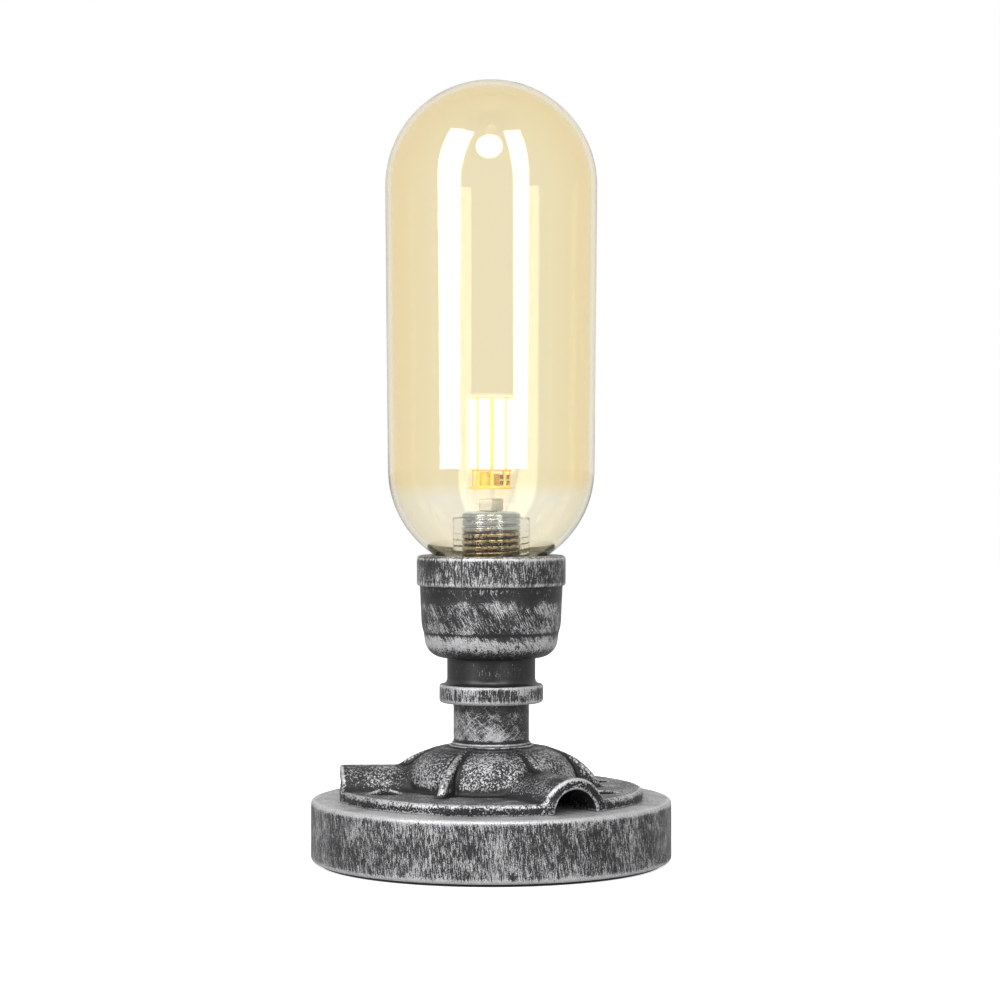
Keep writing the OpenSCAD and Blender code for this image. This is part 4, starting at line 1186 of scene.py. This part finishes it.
def make_screws_and_wires(zinc, brass):
    block_low, block_y, pitch, barrel_z, clamp = 5.0, 23.0, 8.0, 9.5, 3.5
    slotted_screws("block_screws", "block_screws",
                   [(x, block_y, block_low) for x in (-pitch / 2, pitch / 2)],
                   (5.2, 1.8, 0.9, 1.8, 3.0, 12.6), "zinc", zinc)
    slotted_screws("earth_screw", "earth_screw", [(23, 6, RECESS_TOP - 0.8)],
                   (7.4, 2.4, 1.2, 2.2, 4.0, 4.4), "brass", brass)
    slotted_screws("clamp_screws", "terminal_screws",
                   [(x, block_y + y, 6.4) for x in (-pitch, 0, pitch) for y in (-clamp, clamp)],
                   (2.6, 1.0, 0.5, 1.0, 2.4, 2.2), "zinc", zinc)
    tail_z, bore_top, rod_low, apart, under = 102.2, 99.6, 7.9, 1.3, 5.1
    half_way = Vector((math.cos(PIN_TURN / 2), math.sin(PIN_TURN / 2)))
    for name, side, end_x, color in (("live", -1, -8.0, (0.16, 0.06, 0.022, 1)),
                                     ("neutral", 1, 0.0, (0.02, 0.09, 0.32, 1))):
        x, way = side * apart, PIN_WAY * side
        points = [(*(way * PIN_APART), tail_z), (*(way * PIN_APART), tail_z - 0.5),
                  (*(way * 3.6), tail_z - 1.4), (*(way * (apart + 0.5)), bore_top),
                  (*(way * apart), bore_top - 1.6),
                  (*(half_way * side * apart), (bore_top + rod_low) / 2), (x, 0, rod_low + 1.6),
                  (x, 0, rod_low), (x, 0.5, rod_low - 1.4),
                  (x, 1.6, under), ((x + end_x) / 2, 6, under + 0.5), (end_x, 11, barrel_z - 1.4),
                  (end_x, 13.4, barrel_z), (end_x, 19.7, barrel_z)]
        add_wire(name, points, plain("wire_" + name + "_finish", color, 0.35, tone=0.1))
    tag_x, tag_z = 14.9, 12.6
    points = [(tag_x, 6, tag_z), (tag_x - 0.5, 6, tag_z), (tag_x - 1.6, 6, tag_z - 0.1),
              (tag_x - 3.2, 6.5, tag_z - 1.4), (tag_x - 5, 8.4, 10), (8.25, 11.8, barrel_z),
              (8, 13.4, barrel_z), (8, 19.7, barrel_z)]
    add_wire("earth", points, striped("wire_earth_finish", (0.05, 0.24, 0.035, 1), (0.72, 0.62, 0.05, 1)))


# Main

scene.view_settings.view_transform = "Standard"
make_camera()
make_lights()
make_world()
make_floor()

make_foot(dry_brushed("foot_finish", turn=0.0015, cover=0.33, along=0.09, fine=4.6,
                      lit_side=(-12, 0.035), blotches=0.24,
                      bands=[(FOOT_TOP - 0.3, FOOT_TOP + 5, 0.06, 0.095)]))
make_flange(sand_cast("flange_finish"))
make_pipe(dry_brushed("pipe_finish", turn=0.08, cover=0.34, along=0.14, fine=3.4, seed=7, crossed=True,
                      lit_side=(-25, 0.05), bands=[(51.5, 54, 1.2, -0.08), (38, 43.0, 1.2, 0.03)]))
# In the coupling's bands, the one from 88.2 to 91.9 mm takes silver away just under the rim of the outer
# band: painted shadow of that rim
make_coupling(dry_brushed("coupling_finish", turn=0.024, slanted=(72, 90), cover=0.385, along=0.1,
                          fine=3.4, seed=13, lit_side=(-10, 0.02),
                          bands=[(59.6, 70.9, 0.5, -0.10), (71.2, 74.2, 0.8, 0.085), (74, 77, 0.8, 0.03),
                                 (88.2, 91.9, 1.2, -0.16), (92.9, 101, 0.4, -0.013),
                                 (101.3, 104, 0.2, -0.10)]))
make_glass(clear("amber_glass", (0.92, 0.865, 0.70, 1), 1.45, rim=(0.90, 0.788, 0.54, 1),
                 pale=(126.5, 121.0, (0.935, 0.905, 0.81, 1))))
make_collar(clear("collar_clear", (0.95, 0.955, 0.96, 1), 1.42))

brass = turned_metal("brass_finish", (0.70, 0.52, 0.22, 1), 0.28)
zinc = plain("zinc_finish", grey(0.60), 0.34, metal=1.0, scale=1.2, tone=0.08)
steel = plain("steel_finish", grey(0.66), 0.2, metal=1.0, scale=3.0, tone=0.06)
# Nickel: the near-black base colour is a painted reflection of the dark inside of the coupling, the bluish
# colour above 109.5 to 111.5 mm a painted reflection of the light, and the brown-gold on the thread crests
# painted glints
nickel = turned_metal("nickel_finish", (0.010, 0.006, 0.003, 1), 0.14,
                      upper_reflection=(109.5, 111.5, (0.42, 0.46, 0.52, 1)), crest_glint=(SHELL_R, (0.46, 0.36, 0.22, 1)))
ceramic = plain("holder_ceramic_finish", (0.36, 0.43, 0.52, 1), 0.45, scale=2.2, tone=0.05)
bulb_grey = plain("bulb_base_finish", (0.52, 0.51, 0.47, 1), scale=2.5, tone=0.06)
seal_rubber = plain("seal_finish", grey(0.06), 0.6, scale=2.0, tone=0.2)
disc_paint = plain("mouth_paint", grey(0.30), 0.4, scale=1.8, tone=0.25, bump=0.3)
make_shell(nickel)
make_ceramic(ceramic)
make_rings(disc_paint, seal_rubber, zinc, felt("felt_finish"))
make_rod(zinc)
make_grommet(plain("rubber_finish", grey(0.018), 0.6, scale=2.5, tone=0.2))
make_bulb(faint("bulb_clear_finish", (0.92, 0.86, 0.76, 1), 0.07, (1.0, 0.84, 0.48, 1), 132.5, 154.5, 2.4),
          bulb_grey, steel,
          glowing("phosphor_finish", (1.0, 0.86, 0.52, 1), 2.6, (0.80, 0.50, 0.14, 1), STRIP_LOW + 0.1),
          # The driver board's glow is painted light from the light chips above it
          plain("driver_gold_finish", (0.80, 0.54, 0.07, 1), 0.3, scale=2.6, tone=0.6, glow=0.2),
          plain("driver_black_finish", (0.10, 0.05, 0.015, 1), 0.4, scale=3.0, tone=0.4))

for node, material in (
        ("terminal_block", plain("block_finish", (0.72, 0.70, 0.62, 1), 0.45, scale=1.6, tone=0.04)),
        # The core's glow is painted light from the chips on it
        ("bulb_core", plain("core_finish", (0.50, 0.28, 0.06, 1), 0.6, scale=2.0, tone=0.3, glow=0.1)),
        ("socket_contacts", plain("contact_finish", (0.72, 0.55, 0.26, 1), 0.25, metal=1.0, scale=2.0)),
        ("earth_tag", zinc), ("rod_nut_lower", brass), ("rod_nut_upper", brass),
        ("terminal_barrels", brass)):
    finish(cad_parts[node], material)
make_screws_and_wires(zinc, brass)

bpy.context.view_layer.update()
